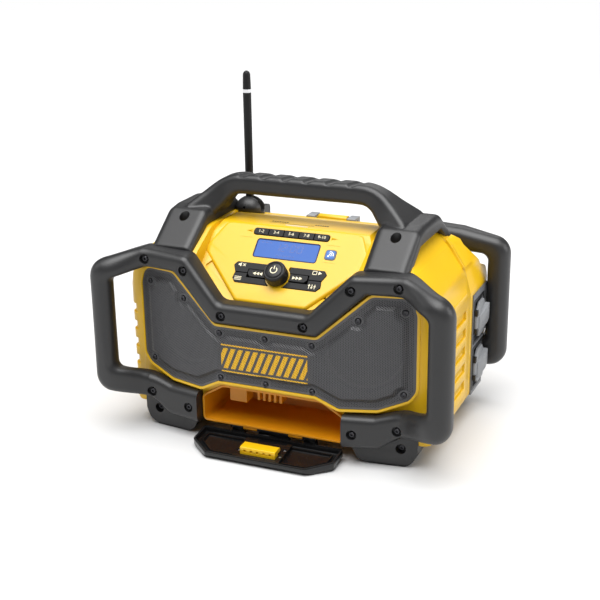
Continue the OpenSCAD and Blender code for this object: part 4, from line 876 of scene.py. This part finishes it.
def sheetTree():
    # hexagonal cells inside the plate's outline, bent and domed with it
    numbers = ("From X", "To X", "Top", "Front", "Bend X", "Slope", "Pitch", "Open", "Wall", "Flat", "Rise",
               "Dome", "Rim", "Edge", "Calm", "Clear", "Ring")
    tree, given, result = newTree("perforatedSheet", numbers, Screws="Object", Finish="Material")
    add = partial(addNode, tree)
    # one cell: a hexagon, its hole set in and its wall drawn back
    pitch = given["Pitch"]
    radius = add(maths, over, {0: pitch, 1: math.sqrt(3)})
    hexagon = add("GeometryNodeMeshCircle", {"fill_type": "NGON", "Vertices": 6}, {"Radius": radius})
    inset = add("GeometryNodeExtrudeMesh", {"mode": "FACES", "Offset Scale": 0.0},
                {"Mesh": hexagon.outputs["Mesh"]})
    hole = add("GeometryNodeScaleElements", {"domain": "FACE"},
               {"Geometry": inset.outputs["Mesh"], "Selection": inset.outputs["Top"], "Scale": given["Open"]})
    wall = add(maths, times, {0: given["Wall"], 1: -1.0})
    drawn = add("GeometryNodeExtrudeMesh", {"mode": "FACES"},
                {"Mesh": hole, "Selection": inset.outputs["Top"], "Offset Scale": wall})
    cell = add("GeometryNodeDeleteGeometry", {"domain": "FACE", "mode": "ALL"},
               {"Geometry": drawn.outputs["Mesh"], "Selection": drawn.outputs["Top"]})
    # grid of points: columns across, every other one half a pitch higher
    width = add(maths, times, {0: pitch, 1: math.sqrt(3) / 2})
    first, last = (add(maths, ceiling, {0: add(maths, over, {0: given[side], 1: width})})
                   for side in ("From X", "To X"))
    countX = add(maths, minus, {0: last, 1: first})
    countZ = add(maths, ceiling, {0: add(maths, over, {0: given["Top"], 1: pitch})})
    count = add(maths, times, {0: countX, 1: countZ})
    grid = add("GeometryNodeMeshLine", {"count_mode": "TOTAL"}, {"Count": count})
    index = add("GeometryNodeInputIndex")
    column = add(maths, plus, {0: first, 1: add(maths, modulo, {0: index, 1: countX})})
    odd = add(maths, unsigned, {0: add(maths, modulo, {0: column, 1: 2.0})})
    whole = add(maths, floor, {0: add(maths, over, {0: index, 1: countX})})
    row = add(maths, plus, {0: whole, 1: add(maths, times, {0: odd, 1: 0.5})})
    x, z = add(maths, times, {0: column, 1: width}), add(maths, times, {0: row, 1: pitch})
    spot = add("ShaderNodeCombineXYZ", None, {0: x, 2: z})
    points = add("GeometryNodeSetPosition", None, {"Geometry": grid, "Position": spot})
    # a cell stands where the point meets the plate, clear of its rim and of the screws
    here = add("GeometryNodeInputPosition")
    probe = 0.05        # metres before and behind the plate
    lifted = add("ShaderNodeVectorMath", {"operation": "ADD", 1: (0, -probe, 0)}, {0: here})
    hit = add("GeometryNodeRaycast", {"Ray Direction": (0, 1, 0), "Ray Length": 2 * probe},
              {"Target Geometry": given["Geometry"], "Source Position": lifted})
    rim = add("GeometryNodeProximity", {"target_element": "EDGES"}, {0: given["Geometry"]})
    away = rim.outputs["Distance"]
    screws = add("GeometryNodeObjectInfo", {"transform_space": "RELATIVE"}, {"Object": given["Screws"]})
    head = add("GeometryNodeProximity", {"target_element": "POINTS"}, {0: screws.outputs["Geometry"]})
    near = head.outputs["Distance"]
    bare = add(maths, times, {0: given["Rim"], 1: given["Edge"]})
    inside = add(maths, times, {0: hit.outputs["Is Hit"], 1: add(maths, greater, {0: away, 1: bare})})
    kept = add(maths, times, {0: inside, 1: add(maths, greater, {0: near, 1: given["Clear"]})})
    cells = add("GeometryNodeInstanceOnPoints", {"Rotation": (math.radians(90), 0, 0)},
                {"Points": points, "Selection": kept, "Instance": cell})
    real = add("GeometryNodeRealizeInstances", None, {0: cells})

    def eased(distance, start, length):
        # rises from 0 to 1 over the length
        share = add(maths, over, {0: add(maths, minus, {0: distance, 1: start}), 1: length})
        return add("ShaderNodeMapRange", {"interpolation_type": "SMOOTHSTEP"}, {"Value": share})

    # the sheet's form: bent back at the wings, domed inside its flat border and calm round the screws
    parts = add("ShaderNodeSeparateXYZ", None, {0: here})
    beyond = add(maths, minus, {0: add(maths, unsigned, {0: parts}), 1: given["Bend X"]})
    bent = add(maths, times, {0: add(maths, larger, {0: beyond, 1: 0.0}), 1: given["Slope"]})
    bulge = add(maths, times, {0: eased(away, given["Flat"], given["Rise"]),
                               1: eased(near, given["Ring"], given["Calm"])})
    push = add(maths, minus, {0: add(maths, plus, {0: given["Front"], 1: bent}),
                              1: add(maths, times, {0: bulge, 1: given["Dome"]})})
    shift = add("ShaderNodeCombineXYZ", None, {1: push})
    formed = add("GeometryNodeSetPosition", None, {"Geometry": real, "Offset": shift})
    return endTree(tree, given, result, formed)


def grilleWays(x):
    # the ways the sheet runs and faces at x
    wing = 0 if abs(x) < flatHalf + 0.5 else math.copysign(1, x)
    turn = wing * math.atan(grille["sweep"])
    return Vector((math.cos(turn), math.sin(turn), 0)), Vector((math.sin(turn), -math.cos(turn), 0))


def washerMesh(x, z, steps=28):
    across, out = grilleWays(x)
    verts = []
    for r, h in grille["washer"]:
        for a in (2 * math.pi * k / steps for k in range(steps)):
            turned = across * r * math.cos(a) + Vector((0, 0, 1)) * r * math.sin(a)
            verts.append(at(x, grilleY(x), z) + (turned + out * h) / 1000)
    faces = [(a, d, c, b) for a, b, c, d in ringQuads(steps, len(grille["washer"]))]
    return plainMesh("washer", verts, faces)


def makeGrille(g):
    tree = sheetTree()
    loop = roundedOutline(g["corners"])
    places = [(s * x, z) for x, z in g["screws"] for s in ((-1, 1) if x else (1,))]
    screwObject = looseObject(plainMesh("screwPoints", [(x / 1000, 0, z / 1000) for x, z in places]))
    lengths = ("pitch", "wall", "flat", "rise", "dome", "calm", "rim", "clear", "ring")
    sizes = {key.capitalize(): g[key] / 1000 for key in lengths}
    sizes.update({"Screws": screwObject, "Open": g["open"], "Edge": g["edge"], "Slope": g["sweep"],
                  "Front": at(0, g["face"], 0).y, "Top": g["height"] / 1000, "Bend X": flatHalf / 1000,
                  "Finish": grillePaint})
    edges = (-g["half"], -flatHalf, flatHalf, g["half"])
    for name, low, high in zip(("Left", "Middle", "Right"), edges, edges[1:]):
        plate = plainMesh("plate", [(p.x / 1000, 0, p.y / 1000) for p in loop], [tuple(range(len(loop)))])
        mesh = runTree(plate, tree, {**sizes, "From X": low / 1000, "To X": high / 1000})
        addPiece("perforated" + name, mesh, "speaker_grille")
        print("grille", name, len(mesh.polygons), "faces")
    bpy.data.objects.remove(screwObject)
    # bare rim that closes the sheet's edge
    inner = roundedOutline(grownCorners(g["corners"], -g["rim"]))
    rings = [(loop, 0.6), (loop, -0.05), (inner, -0.3), (inner, 0.6), (loop, 0.6)]
    verts = [at(p.x, grilleY(p.x) + y, p.y) for ring, y in rings for p in ring]
    rim = solidFrom("grilleRim", verts, ringQuads(len(loop), len(rings)))
    mesh = joined("grilleRim", [rim] + [washerMesh(x, z) for x, z in places])
    smoothByAngle(mesh, 40)
    addPiece("grilleRim", mesh, "speaker_grille")
    return places


grilleScrewPlaces = makeGrille(grille)
print("grille made")


# screws

# steps of the round and of its height; the shares are of the radius and of the head's height
star = {"round": 28, "rows": 5, "dome": 0.3, "steep": 3.0, "lobes": 6, "notch": 0.26, "socket": 0.52,
        "depth": 0.6}


def screwTree(c):
    # a domed head with a six-lobed socket on every point, turned to the point's way
    tree, given, result = newTree("starScrews", ("Radius", "Head", "Socket", "Depth"), Finish="Material")
    add = partial(addNode, tree)
    here = add("GeometryNodeInputPosition")

    def narrowed(mesh, loss):
        # draws a shape in across its axis
        share = add(maths, minus, {0: 1.0, 1: loss})
        scale = add("ShaderNodeCombineXYZ", {2: 1.0}, {0: share, 1: share})
        moved = add("ShaderNodeVectorMath", {"operation": "MULTIPLY"}, {0: here, 1: scale})
        return add("GeometryNodeSetPosition", None, {"Geometry": mesh, "Position": moved})

    def raised(mesh, height):
        lift = add("ShaderNodeCombineXYZ", None, {2: height})
        return add("GeometryNodeTransform", None, {"Geometry": mesh, "Translation": lift})

    block = add("GeometryNodeMeshCylinder", {"Vertices": c["round"], "Side Segments": c["rows"]},
                {"Radius": given["Radius"], "Depth": given["Head"]})
    z = add("ShaderNodeSeparateXYZ", None, {0: here}).outputs[2]
    high = add(maths, toPower, {0: add(maths, over, {0: z, 1: given["Head"]}), 1: c["steep"]})
    middle = add(maths, times, {0: given["Head"], 1: 0.5})
    domed = narrowed(raised(block.outputs["Mesh"], middle), add(maths, times, {0: high, 1: c["dome"]}))
    deep = add(maths, times, {0: given["Depth"], 1: 2.0})
    rod = add("GeometryNodeMeshCylinder", {"Vertices": 2 * c["lobes"]},
              {"Radius": given["Socket"], "Depth": deep})
    odd = add(maths, modulo, {0: add("GeometryNodeInputIndex"), 1: 2.0})
    lobes = narrowed(rod.outputs["Mesh"], add(maths, times, {0: odd, 1: c["notch"]}))
    bored = add("GeometryNodeMeshBoolean", {"operation": "DIFFERENCE"},
                {0: domed, 1: raised(lobes, given["Head"])})
    way = add("GeometryNodeInputNamedAttribute", {"data_type": "FLOAT_VECTOR", "Name": "way"})
    turn = add("FunctionNodeAlignRotationToVector", {"axis": "Z"}, {"Vector": way})
    heads = add("GeometryNodeInstanceOnPoints", None,
                {"Points": given["Geometry"], "Instance": bored, "Rotation": turn})
    real = add("GeometryNodeRealizeInstances", None, {0: heads})
    return endTree(tree, given, result, real)


starScrews = screwTree(star)


def makeScrews(name, node, places, radius, head):
    # places: (foot of the head, the way it faces)
    points = plainMesh(name, [foot for foot, way in places])
    ways = points.attributes.new("way", "FLOAT_VECTOR", "POINT")
    for item, (foot, way) in zip(ways.data, places):
        item.vector = way
    mesh = runTree(points, starScrews, {
        "Radius": radius / 1000, "Head": head / 1000, "Socket": radius * star["socket"] / 1000,
        "Depth": head * star["depth"] / 1000, "Finish": nodeFinish[node]})
    mesh.name = name
    smoothByAngle(mesh, 30)
    addPiece(name, mesh, node)


grilleHeads = []
for x, z in grilleScrewPlaces:
    out = grilleWays(x)[1]
    grilleHeads.append((at(x, grilleY(x), z) + out * 0.0003, out))
door = {"hinge": (19.9, 20.5), "open": 96, "screws": [(-25.6, 47), (25.6, 47), (-25.6, 61), (25.6, 61)],
        "screwFoot": 11.9}


def onDoor(x, y, z):
    # a point of the closed door, swung open with it
    a = math.radians(door["open"])
    hy, hz = door["hinge"]
    u, w = y - hy, z - hz
    return at(x, hy + u * math.cos(a) - w * math.sin(a), hz + u * math.sin(a) + w * math.cos(a))


doorOut = onDoor(0, 1, 0) - onDoor(0, 0, 0)
doorHeads = [(onDoor(x, door["screwFoot"], z), doorOut) for x, z in door["screws"]]
makeScrews("guardScrews", "guard_screws", guardHeads, 4.0, 3.0)
makeScrews("grilleScrews", "grille_screws", grilleHeads, 3.2, 1.9)
makeScrews("doorScrews", "door_screws", doorHeads, 2.2, 1.6)
print("screws made")

# latch of the storage door, and what hangs under the bin's ceiling

latch = {
    "tongue": [(6.9, 58, 0), (16.4, 58.6, 0), (16.4, 66.8, 0), (6.9, 67.4, 0)],
    "plate": [(16.2, 50.5, 1.2), (20.6, 51.5, 1.4), (21.6, 65.6, 1.2), (16.2, 67.2, 1.2)],
    "half": 22, "notches": [-16, -8, 0, 8, 16], "notch": (1.5, 15.9, 19.0, 64.2, 69),
}


def onDoorSide(y, z, x):
    return onDoor(x, y, z)


def makeLatch(c):
    tongue, plate = (prismMesh("latch", roundedOutline(c[key], 4), -c["half"], c["half"], onDoorSide)
                     for key in ("tongue", "plate"))
    w, *sides = c["notch"]
    cutters = [boxMesh("notch", x - w, x + w, *sides, onDoor) for x in c["notches"]]
    mesh = cutMesh(cutMesh(tongue, [plate], "UNION"), cutters)
    addBevel(addPiece("doorLatch", mesh, "storage_latch"), 0.5)


makeLatch(latch)

hangers = {"comb": {"first": -24, "step": 7, "width": 3.4, "count": 5, "box": (28.7, 43.7, 53, 69.3)},
           "boss": (-60, -38, 29.2, 47.7, 47, 69.3), "rail": 7}


def makeHangers(h):
    c = h["comb"]
    starts = [c["first"] + c["step"] * k for k in range(c["count"])]
    parts = [boxMesh("rib", x, x + c["width"], *c["box"]) for x in starts]
    y0, y1, top = (c["box"][i] for i in (0, 1, 3))
    parts.append(boxMesh("rail", starts[0], starts[-1] + c["width"], y0 + 1, y1 - 1, top - h["rail"], top))
    mesh = joined("binHangers", parts + [boxMesh("boss", *h["boss"])])
    addBevel(addPiece("binHangers", mesh, "storage_bin", replaces=False), 0.7)


makeHangers(hangers)
print("latch and hangers made")

# console

console = {
    "outline": bothSides([(0, 30, 0), (47, 30, 6), (97, 84, 9), (82, 121.5, 7), (0, 121.5, 0)]),
    "apron": bothSides([(0, 20.8, 0), (43.4, 20.8, 8), (104.4, 84.8, 12), (86, 123.5, 7), (0, 123.5, 0)]),
    "roll": 3.8, "apronFoot": -2.6,
    "under": -1.56, "face": 1.4, "keyFoot": -4.2, "gap": 0.35,
    "pad": [(-57.5, 66, 2), (-54, 70.8, 1.5), (-11, 70.8, 1), (-8, 44, 1), (-50, 44, 1.5), (-54.5, 49, 2),
            (-53.2, 57.3, 2)],
    "lens": (39.5, 79.6, 104.6, 3.2),
    "presets": {"width": 18.2, "gap": 0.8, "s": 113.6, "height": 8.5, "end": 3.0},
    "wireless": (54.4, 92.4, 13, 3.2),
    "knob": (0, 57), "ring": 14.7, "clear": 15.1, "bore": 4.5,
    # how far the cutters reach through the plate and through the keys
    "through": 9, "keyThrough": 12,
    "slotRound": 3.2, "plateGrow": 0.12, "ringSunk": 0.2,
    "lensRim": 1.0, "lensRise": 0.1, "lensSunk": 0.5, "lensInset": 0.9,
    # how far the keys stand up
    "low": 2.5, "seekTop": 3.4, "presetTop": 2.6, "wirelessTop": 2.0,
}
# outlines of the left pad's keys; the right pad mirrors them
keyShapes = {
    "upper": [(-57.5, 66, 1.6), (-54, 70.8, 1.6), (-13, 70.8, 0.8), (-13, 62.8, 0.4), (-38, 62.8, 0.8),
              (-38, 57.7, 0.8), (-53.5, 57.7, 1)],
    "lower": [(-53.5, 56.9, 1), (-38, 56.9, 0.8), (-38, 51.6, 0.8), (-13, 51.6, 0.4), (-10, 44, 0.8),
              (-50, 44, 1.6), (-54.5, 49, 1.6)],
    "seek": [(-36.8, 61.8, 1.4), (-11, 61.8, 0.4), (-11, 52.6, 0.4), (-33.5, 52.6, 1.4), (-36.8, 55.8, 1.4)],
}
wx, ws, wirelessSide, wirelessRound = console["wireless"]
wirelessCorners = boxCorners(wx - wirelessSide / 2, wx + wirelessSide / 2, ws - wirelessSide / 2,
                             ws + wirelessSide / 2, wirelessRound)


def consolePrism(name, corners, low, high, grow=0.0):
    loop = roundedOutline(grownCorners(corners, grow) if grow else corners, 5)
    return prismMesh(name, loop, low, high, onConsole)


def consoleRod(r, low, high):
    foot = onConsole(*console["knob"], low)
    return rodsMesh("rod", [(foot, onConsole(*console["knob"], high) - foot, r, high - low)], 72)


def presetCorners(k):
    p = console["presets"]
    x, s, w, h = (k - 2) * (p["width"] + p["gap"]), p["s"], p["width"] / 2, p["height"] / 2
    left, right = (p["end"] if k == 0 else 0.5), (p["end"] if k == 4 else 0.5)
    return [(x - w, s - h, left), (x + w, s - h, right), (x + w, s + h, right), (x - w, s + h, left)]


def makePanel(c):
    p = c["presets"]
    half, high = 2.5 * p["width"] + 2 * p["gap"] + c["gap"], p["height"] / 2 + c["gap"]
    slot = boxCorners(-half, half, p["s"] - high, p["s"] + high, c["slotRound"])
    lens = boxCorners(-c["lens"][0], *c["lens"])
    through = (-c["through"], c["through"])
    holes = [consolePrism("hole", h, *through, c["gap"])
             for h in (slot, lens, wirelessCorners, c["pad"], mirrored(c["pad"]))]
    # the face rolls down over the shell's seat, so that no seam shows
    plate = consolePrism("panel", c["outline"], c["under"], c["face"], c["plateGrow"])
    apron = pillowMesh("apron", c["apron"], c["apronFoot"], c["face"], onConsole, c["roll"])
    mesh = cutMesh(cutMesh(plate, [apron], "UNION"), holes)
    mesh = cutMesh(mesh, [consoleRod(c["ring"], c["under"], c["face"] - c["ringSunk"])], "UNION")
    mesh = cutMesh(mesh, [consoleRod(c["bore"], *through)])
    addBevel(addPiece("consolePanel", mesh, "control_panel"), 0.5)
    top, slack = c["face"] + c["lensRise"], c["gap"] - c["lensRise"]
    border = cutMesh(consolePrism("lensFrame", lens, c["under"], top, slack),
                     [consolePrism("hole", lens, *through, -c["lensRim"])])
    addBevel(addPiece("lensFrame", border, "lcd_window", lensEdge), 0.25)
    glass = consolePrism("lensPlate", lens, c["under"], c["face"] - c["lensSunk"], -c["lensInset"])
    addPiece("lensPlate", glass, "lcd_window")


def makeKey(node, corners, top, mat=None, roundKnob=False):
    mesh = consolePrism(node, corners, console["keyFoot"], top)
    if roundKnob:
        mesh = cutMesh(mesh, [consoleRod(console["clear"], -console["keyThrough"], console["keyThrough"])])
    addBevel(addPiece(node + "_dressed", mesh, node, mat), 0.6, 3)


makePanel(console)
for left, right, shape, top in (("mute_key", "mode_key", "upper", console["low"]),
                                ("menu_key", "tone_key", "lower", console["low"]),
                                ("seek_back_key", "seek_forward_key", "seek", console["seekTop"])):
    makeKey(left, keyShapes[shape], top, None, True)
    makeKey(right, mirrored(keyShapes[shape]), top, None, True)
for k, node in enumerate(presetKeys):
    makeKey(node, presetCorners(k), console["presetTop"])
makeKey("wireless_key", wirelessCorners, console["wirelessTop"], slateRubber)
wirelessFace = consolePrism("wirelessFace", wirelessCorners, 1.0, console["low"], -1.3)
addBevel(addPiece("wirelessFace", wirelessFace, "wireless_key"), 0.4)

knob = {
    "steps": 144, "ribs": 18, "ribDepth": 0.32, "ribFrom": 13.3, "ribPower": 6,
    "profile": [(3.0, 2.5), (13.0, 2.45), (13.45, 2.9), (13.5, 3.5), (13.5, 12.4), (13.4, 13.6), (13.0, 14.8),
                (12.3, 15.8), (11.6, 16.3), (11.0, 16.35), (10.5, 16.1), (10.2, 15.7), (9.9, 15.75),
                (9.5, 16.3), (9.0, 16.8), (8.2, 17.05), (4.5, 17.25), (0, 17.3)],
}


def makeKnob(k):
    m, rows, s = k["steps"], len(k["profile"]) - 1, console["knob"][1]
    verts = []
    for r, n in k["profile"][:-1]:
        for a in (2 * math.pi * i / m for i in range(m)):
            rib = k["ribDepth"] * max(0, math.cos(a * k["ribs"])) ** k["ribPower"] if k["ribFrom"] < r else 0
            verts.append(onConsole((r - rib) * math.cos(a), s + (r - rib) * math.sin(a), n))
    verts.append(onConsole(0, s, k["profile"][-1][1]))
    last = (rows - 1) * m
    faces = ringQuads(m, rows) + [(last + i, last + (i + 1) % m, last + m) for i in range(m)]
    mesh = solidFrom("knobCap", verts, faces + [tuple(range(m - 1, -1, -1))])
    smoothByAngle(mesh, 50)
    addPiece("knobCap", mesh, "volume_knob", knobGloss)


makeKnob(knob)
print("console made")

# print on the console: plain signs

inkLift = 0.06
keyInk = console["low"] + inkLift


def printPiece(name, loops, height, mat, node, place=onConsole):
    addPiece(name, flatMesh(name, loops, place, height), node, mat, False)


def bar(x, s, w, h, turn=0.0):
    c, d = math.cos(turn), math.sin(turn)
    return [(x + u * c - v * d, s + u * d + v * c)
            for u, v in ((-w / 2, -h / 2), (w / 2, -h / 2), (w / 2, h / 2), (-w / 2, h / 2))]


def arcBand(x, s, r, w, start, end, steps=14):
    turns = [math.radians(start + (end - start) * i / steps) for i in range(steps + 1)]
    return [(x + e * math.cos(a), s + e * math.sin(a))
            for e, way in ((r + w / 2, 1), (r - w / 2, -1)) for a in turns[::way]]


def arrowHead(x, s, size, way):
    back, wing = x - way * size / 2, size * 0.55
    return [(back, s - wing), (x + way * size / 2, s), (back, s + wing)]


signs = {
    "quietSign": ("mute_key", [[(-52, 66), (-50.4, 66), (-48.2, 64.2), (-48.2, 69.8), (-50.4, 68), (-52, 68)]]
                  + [bar(-44.6, 67, 4.6, 0.8, math.radians(turn)) for turn in (45, -45)]),
    "listSign": ("menu_key", [bar(-47.5, 47.3 + 1.9 * k, 8.6, 0.8) for k in range(3)]),
    "modeSign": ("mode_key", [bar(43, s, 5.6, 0.8) for s in (69.2, 65)]
                 + [bar(x, 67.1, 0.8, 5) for x in (40.6, 45.4)] + [arrowHead(49.6, 67.1, 4.2, 1)]),
    "sliderSign": ("tone_key", [bar(41 + 3.4 * k, 49.3, 0.8, 5.6) for k in range(3)]
                   + [bar(41 + 3.4 * k, 49.3 + d, 2.4, 1.3) for k, d in enumerate((1.2, -1.3, 0.4))]),
}
for name, (node, loops) in signs.items():
    printPiece(name, loops, keyInk, creamPrint, node)
for node, way in (("seek_back_key", -1), ("seek_forward_key", 1)):
    heads = [arrowHead(way * (20.6 + 4.1 * k), 57.2, 3.9, way) for k in range(3)]
    printPiece(node + "_sign", heads, console["seekTop"] + inkLift, creamPrint, node)
x, s = console["knob"]
power = [arcBand(x, s, 3.9, 1.15, 128, 412, 28), bar(x, s + 3.4, 1.15, 4.4)]
printPiece("powerSign", power, knob["profile"][-1][1] + inkLift, creamPrint, "volume_knob")
wave = {"foot": 2.08, "radii": (2.56, 4.48, 6.4), "line": 0.88, "dot": (0.56, 1.12)}
corner = (wx - wave["foot"], ws - wave["foot"])
waves = [arcBand(*corner, r, wave["line"], 5, 85) for r in wave["radii"]]
waves.append(arcBand(*corner, *wave["dot"], 0, 350))
printPiece("waveSign", waves, keyInk, whitePrint, "wireless_key")


def figuresMesh(text, sizeMm, x, s, n):
    # plain figures from the built-in typeface, laid on the console
    curve = bpy.data.curves.new("figures", "FONT")
    curve.body, curve.size, curve.align_x, curve.align_y = text, sizeMm, "CENTER", "CENTER"
    curve.resolution_u = 3
    mesh = takenMesh(newObject("figures", curve))
    mesh.materials.clear()
    for v in mesh.vertices:
        v.co = onConsole(x + v.co.x, s + v.co.y, n)
    return mesh


for k, node in enumerate(presetKeys):
    p = console["presets"]
    figures = figuresMesh("%d-%d" % (2 * k + 1, 2 * k + 2), 5.4, (k - 2) * (p["width"] + p["gap"]), p["s"],
                          console["presetTop"] + inkLift)
    addPiece(node + "_figures", figures, node, creamPrint, False)

display = {"figures": "12:00", "x": -15.5, "s": 90.6, "w": 5.6, "h": 9.6, "line": 1.25, "lean": 0.1,
           "step": 8.2, "colonStep": 3.4}


def segmentLoops(d):
    # the seven bars of each figure, a to g
    shown = {"0": "abcdef", "1": "bc", "2": "abged"}
    w, h, t = d["w"], d["h"], d["line"]
    bars = {"a": (w / 2, h, w - t, t), "g": (w / 2, h / 2, w - t, t), "d": (w / 2, 0, w - t, t),
            "f": (0, 0.75 * h, t, h / 2 - t), "b": (w, 0.75 * h, t, h / 2 - t),
            "e": (0, 0.25 * h, t, h / 2 - t), "c": (w, 0.25 * h, t, h / 2 - t)}
    loops, x = [], d["x"]
    for figure in d["figures"]:
        colon = figure == ":"
        made = [bar(0, h * q, t, t) for q in (0.3, 0.7)] if colon else [bar(*bars[b]) for b in shown[figure]]
        loops += [[(x + u + d["lean"] * v, d["s"] + v) for u, v in loop] for loop in made]
        x += d["colonStep"] if colon else d["step"]
    return loops


small = [bar(-32 + 5 * k, 100.4, 3.4, 1.1) for k in range(3)]
small += [bar(-10 + 4 * k, 84.6, 2.8, 1.1) for k in range(6)]
printPiece("displayFigures", segmentLoops(display) + small, console["face"] - 0.46, lcdInk, "lcd_window")

# sign rules on the flat top, and the pale strip behind the keys
topFlat = 249.5
topRules = [bar(-8.5, 102.6, 57, 1.3)] + [bar(-34.5 + 3.1 * k, 107.4, 2.4, 3.2) for k in range(7)] + \
           [bar(20.5 + 2.9 * k, 107.4, 2.3, 3.2) for k in range(6)]


def onTop(x, y, h):
    return at(x, y, topFlat + h)


printPiece("topRules", topRules, inkLift, brownPrint, "front_shell", onTop)
printPiece("topStrip", [bar(0, 97.2, 28, 2.8)], inkLift, greyPrint, "front_shell", onTop)


tips = {"clear": 2.0, "half": 2.6, "long": 9.5, "peak": (2.2, 1.5), "sunk": 0.3, "rise": 0.25,
        "ribs": [(-54.5, 105.2, 16, 0.7), (54.5, 105.2, 16, 0.7), (55.2, 82.6, 15, 0.7)]}


def makeTips(t, p, face):
    # pointed raised marks at both ends of the preset keys, and the fine lines beneath them
    foot, (along, high) = face - t["sunk"], t["peak"]
    parts = [prismMesh("rib", bar(*rib), foot, face + t["rise"], onConsole) for rib in t["ribs"]]
    for side in (-1, 1):
        x0 = side * (2.5 * p["width"] + 2 * p["gap"] + t["clear"])
        base = [(x0, p["s"] - t["half"]), (x0 + side * t["long"], p["s"]), (x0, p["s"] + t["half"])]
        verts = [onConsole(*q, foot) for q in base] + [onConsole(x0 + side * along, p["s"], face + high)]
        parts.append(solidFrom("tip", verts, [(0, 1, 2), (0, 1, 3), (1, 2, 3), (2, 0, 3)]))
    addPiece("panelTips", joined("panelTips", parts), "control_panel", replaces=False)


makeTips(tips, console["presets"], console["face"])
print("print made")
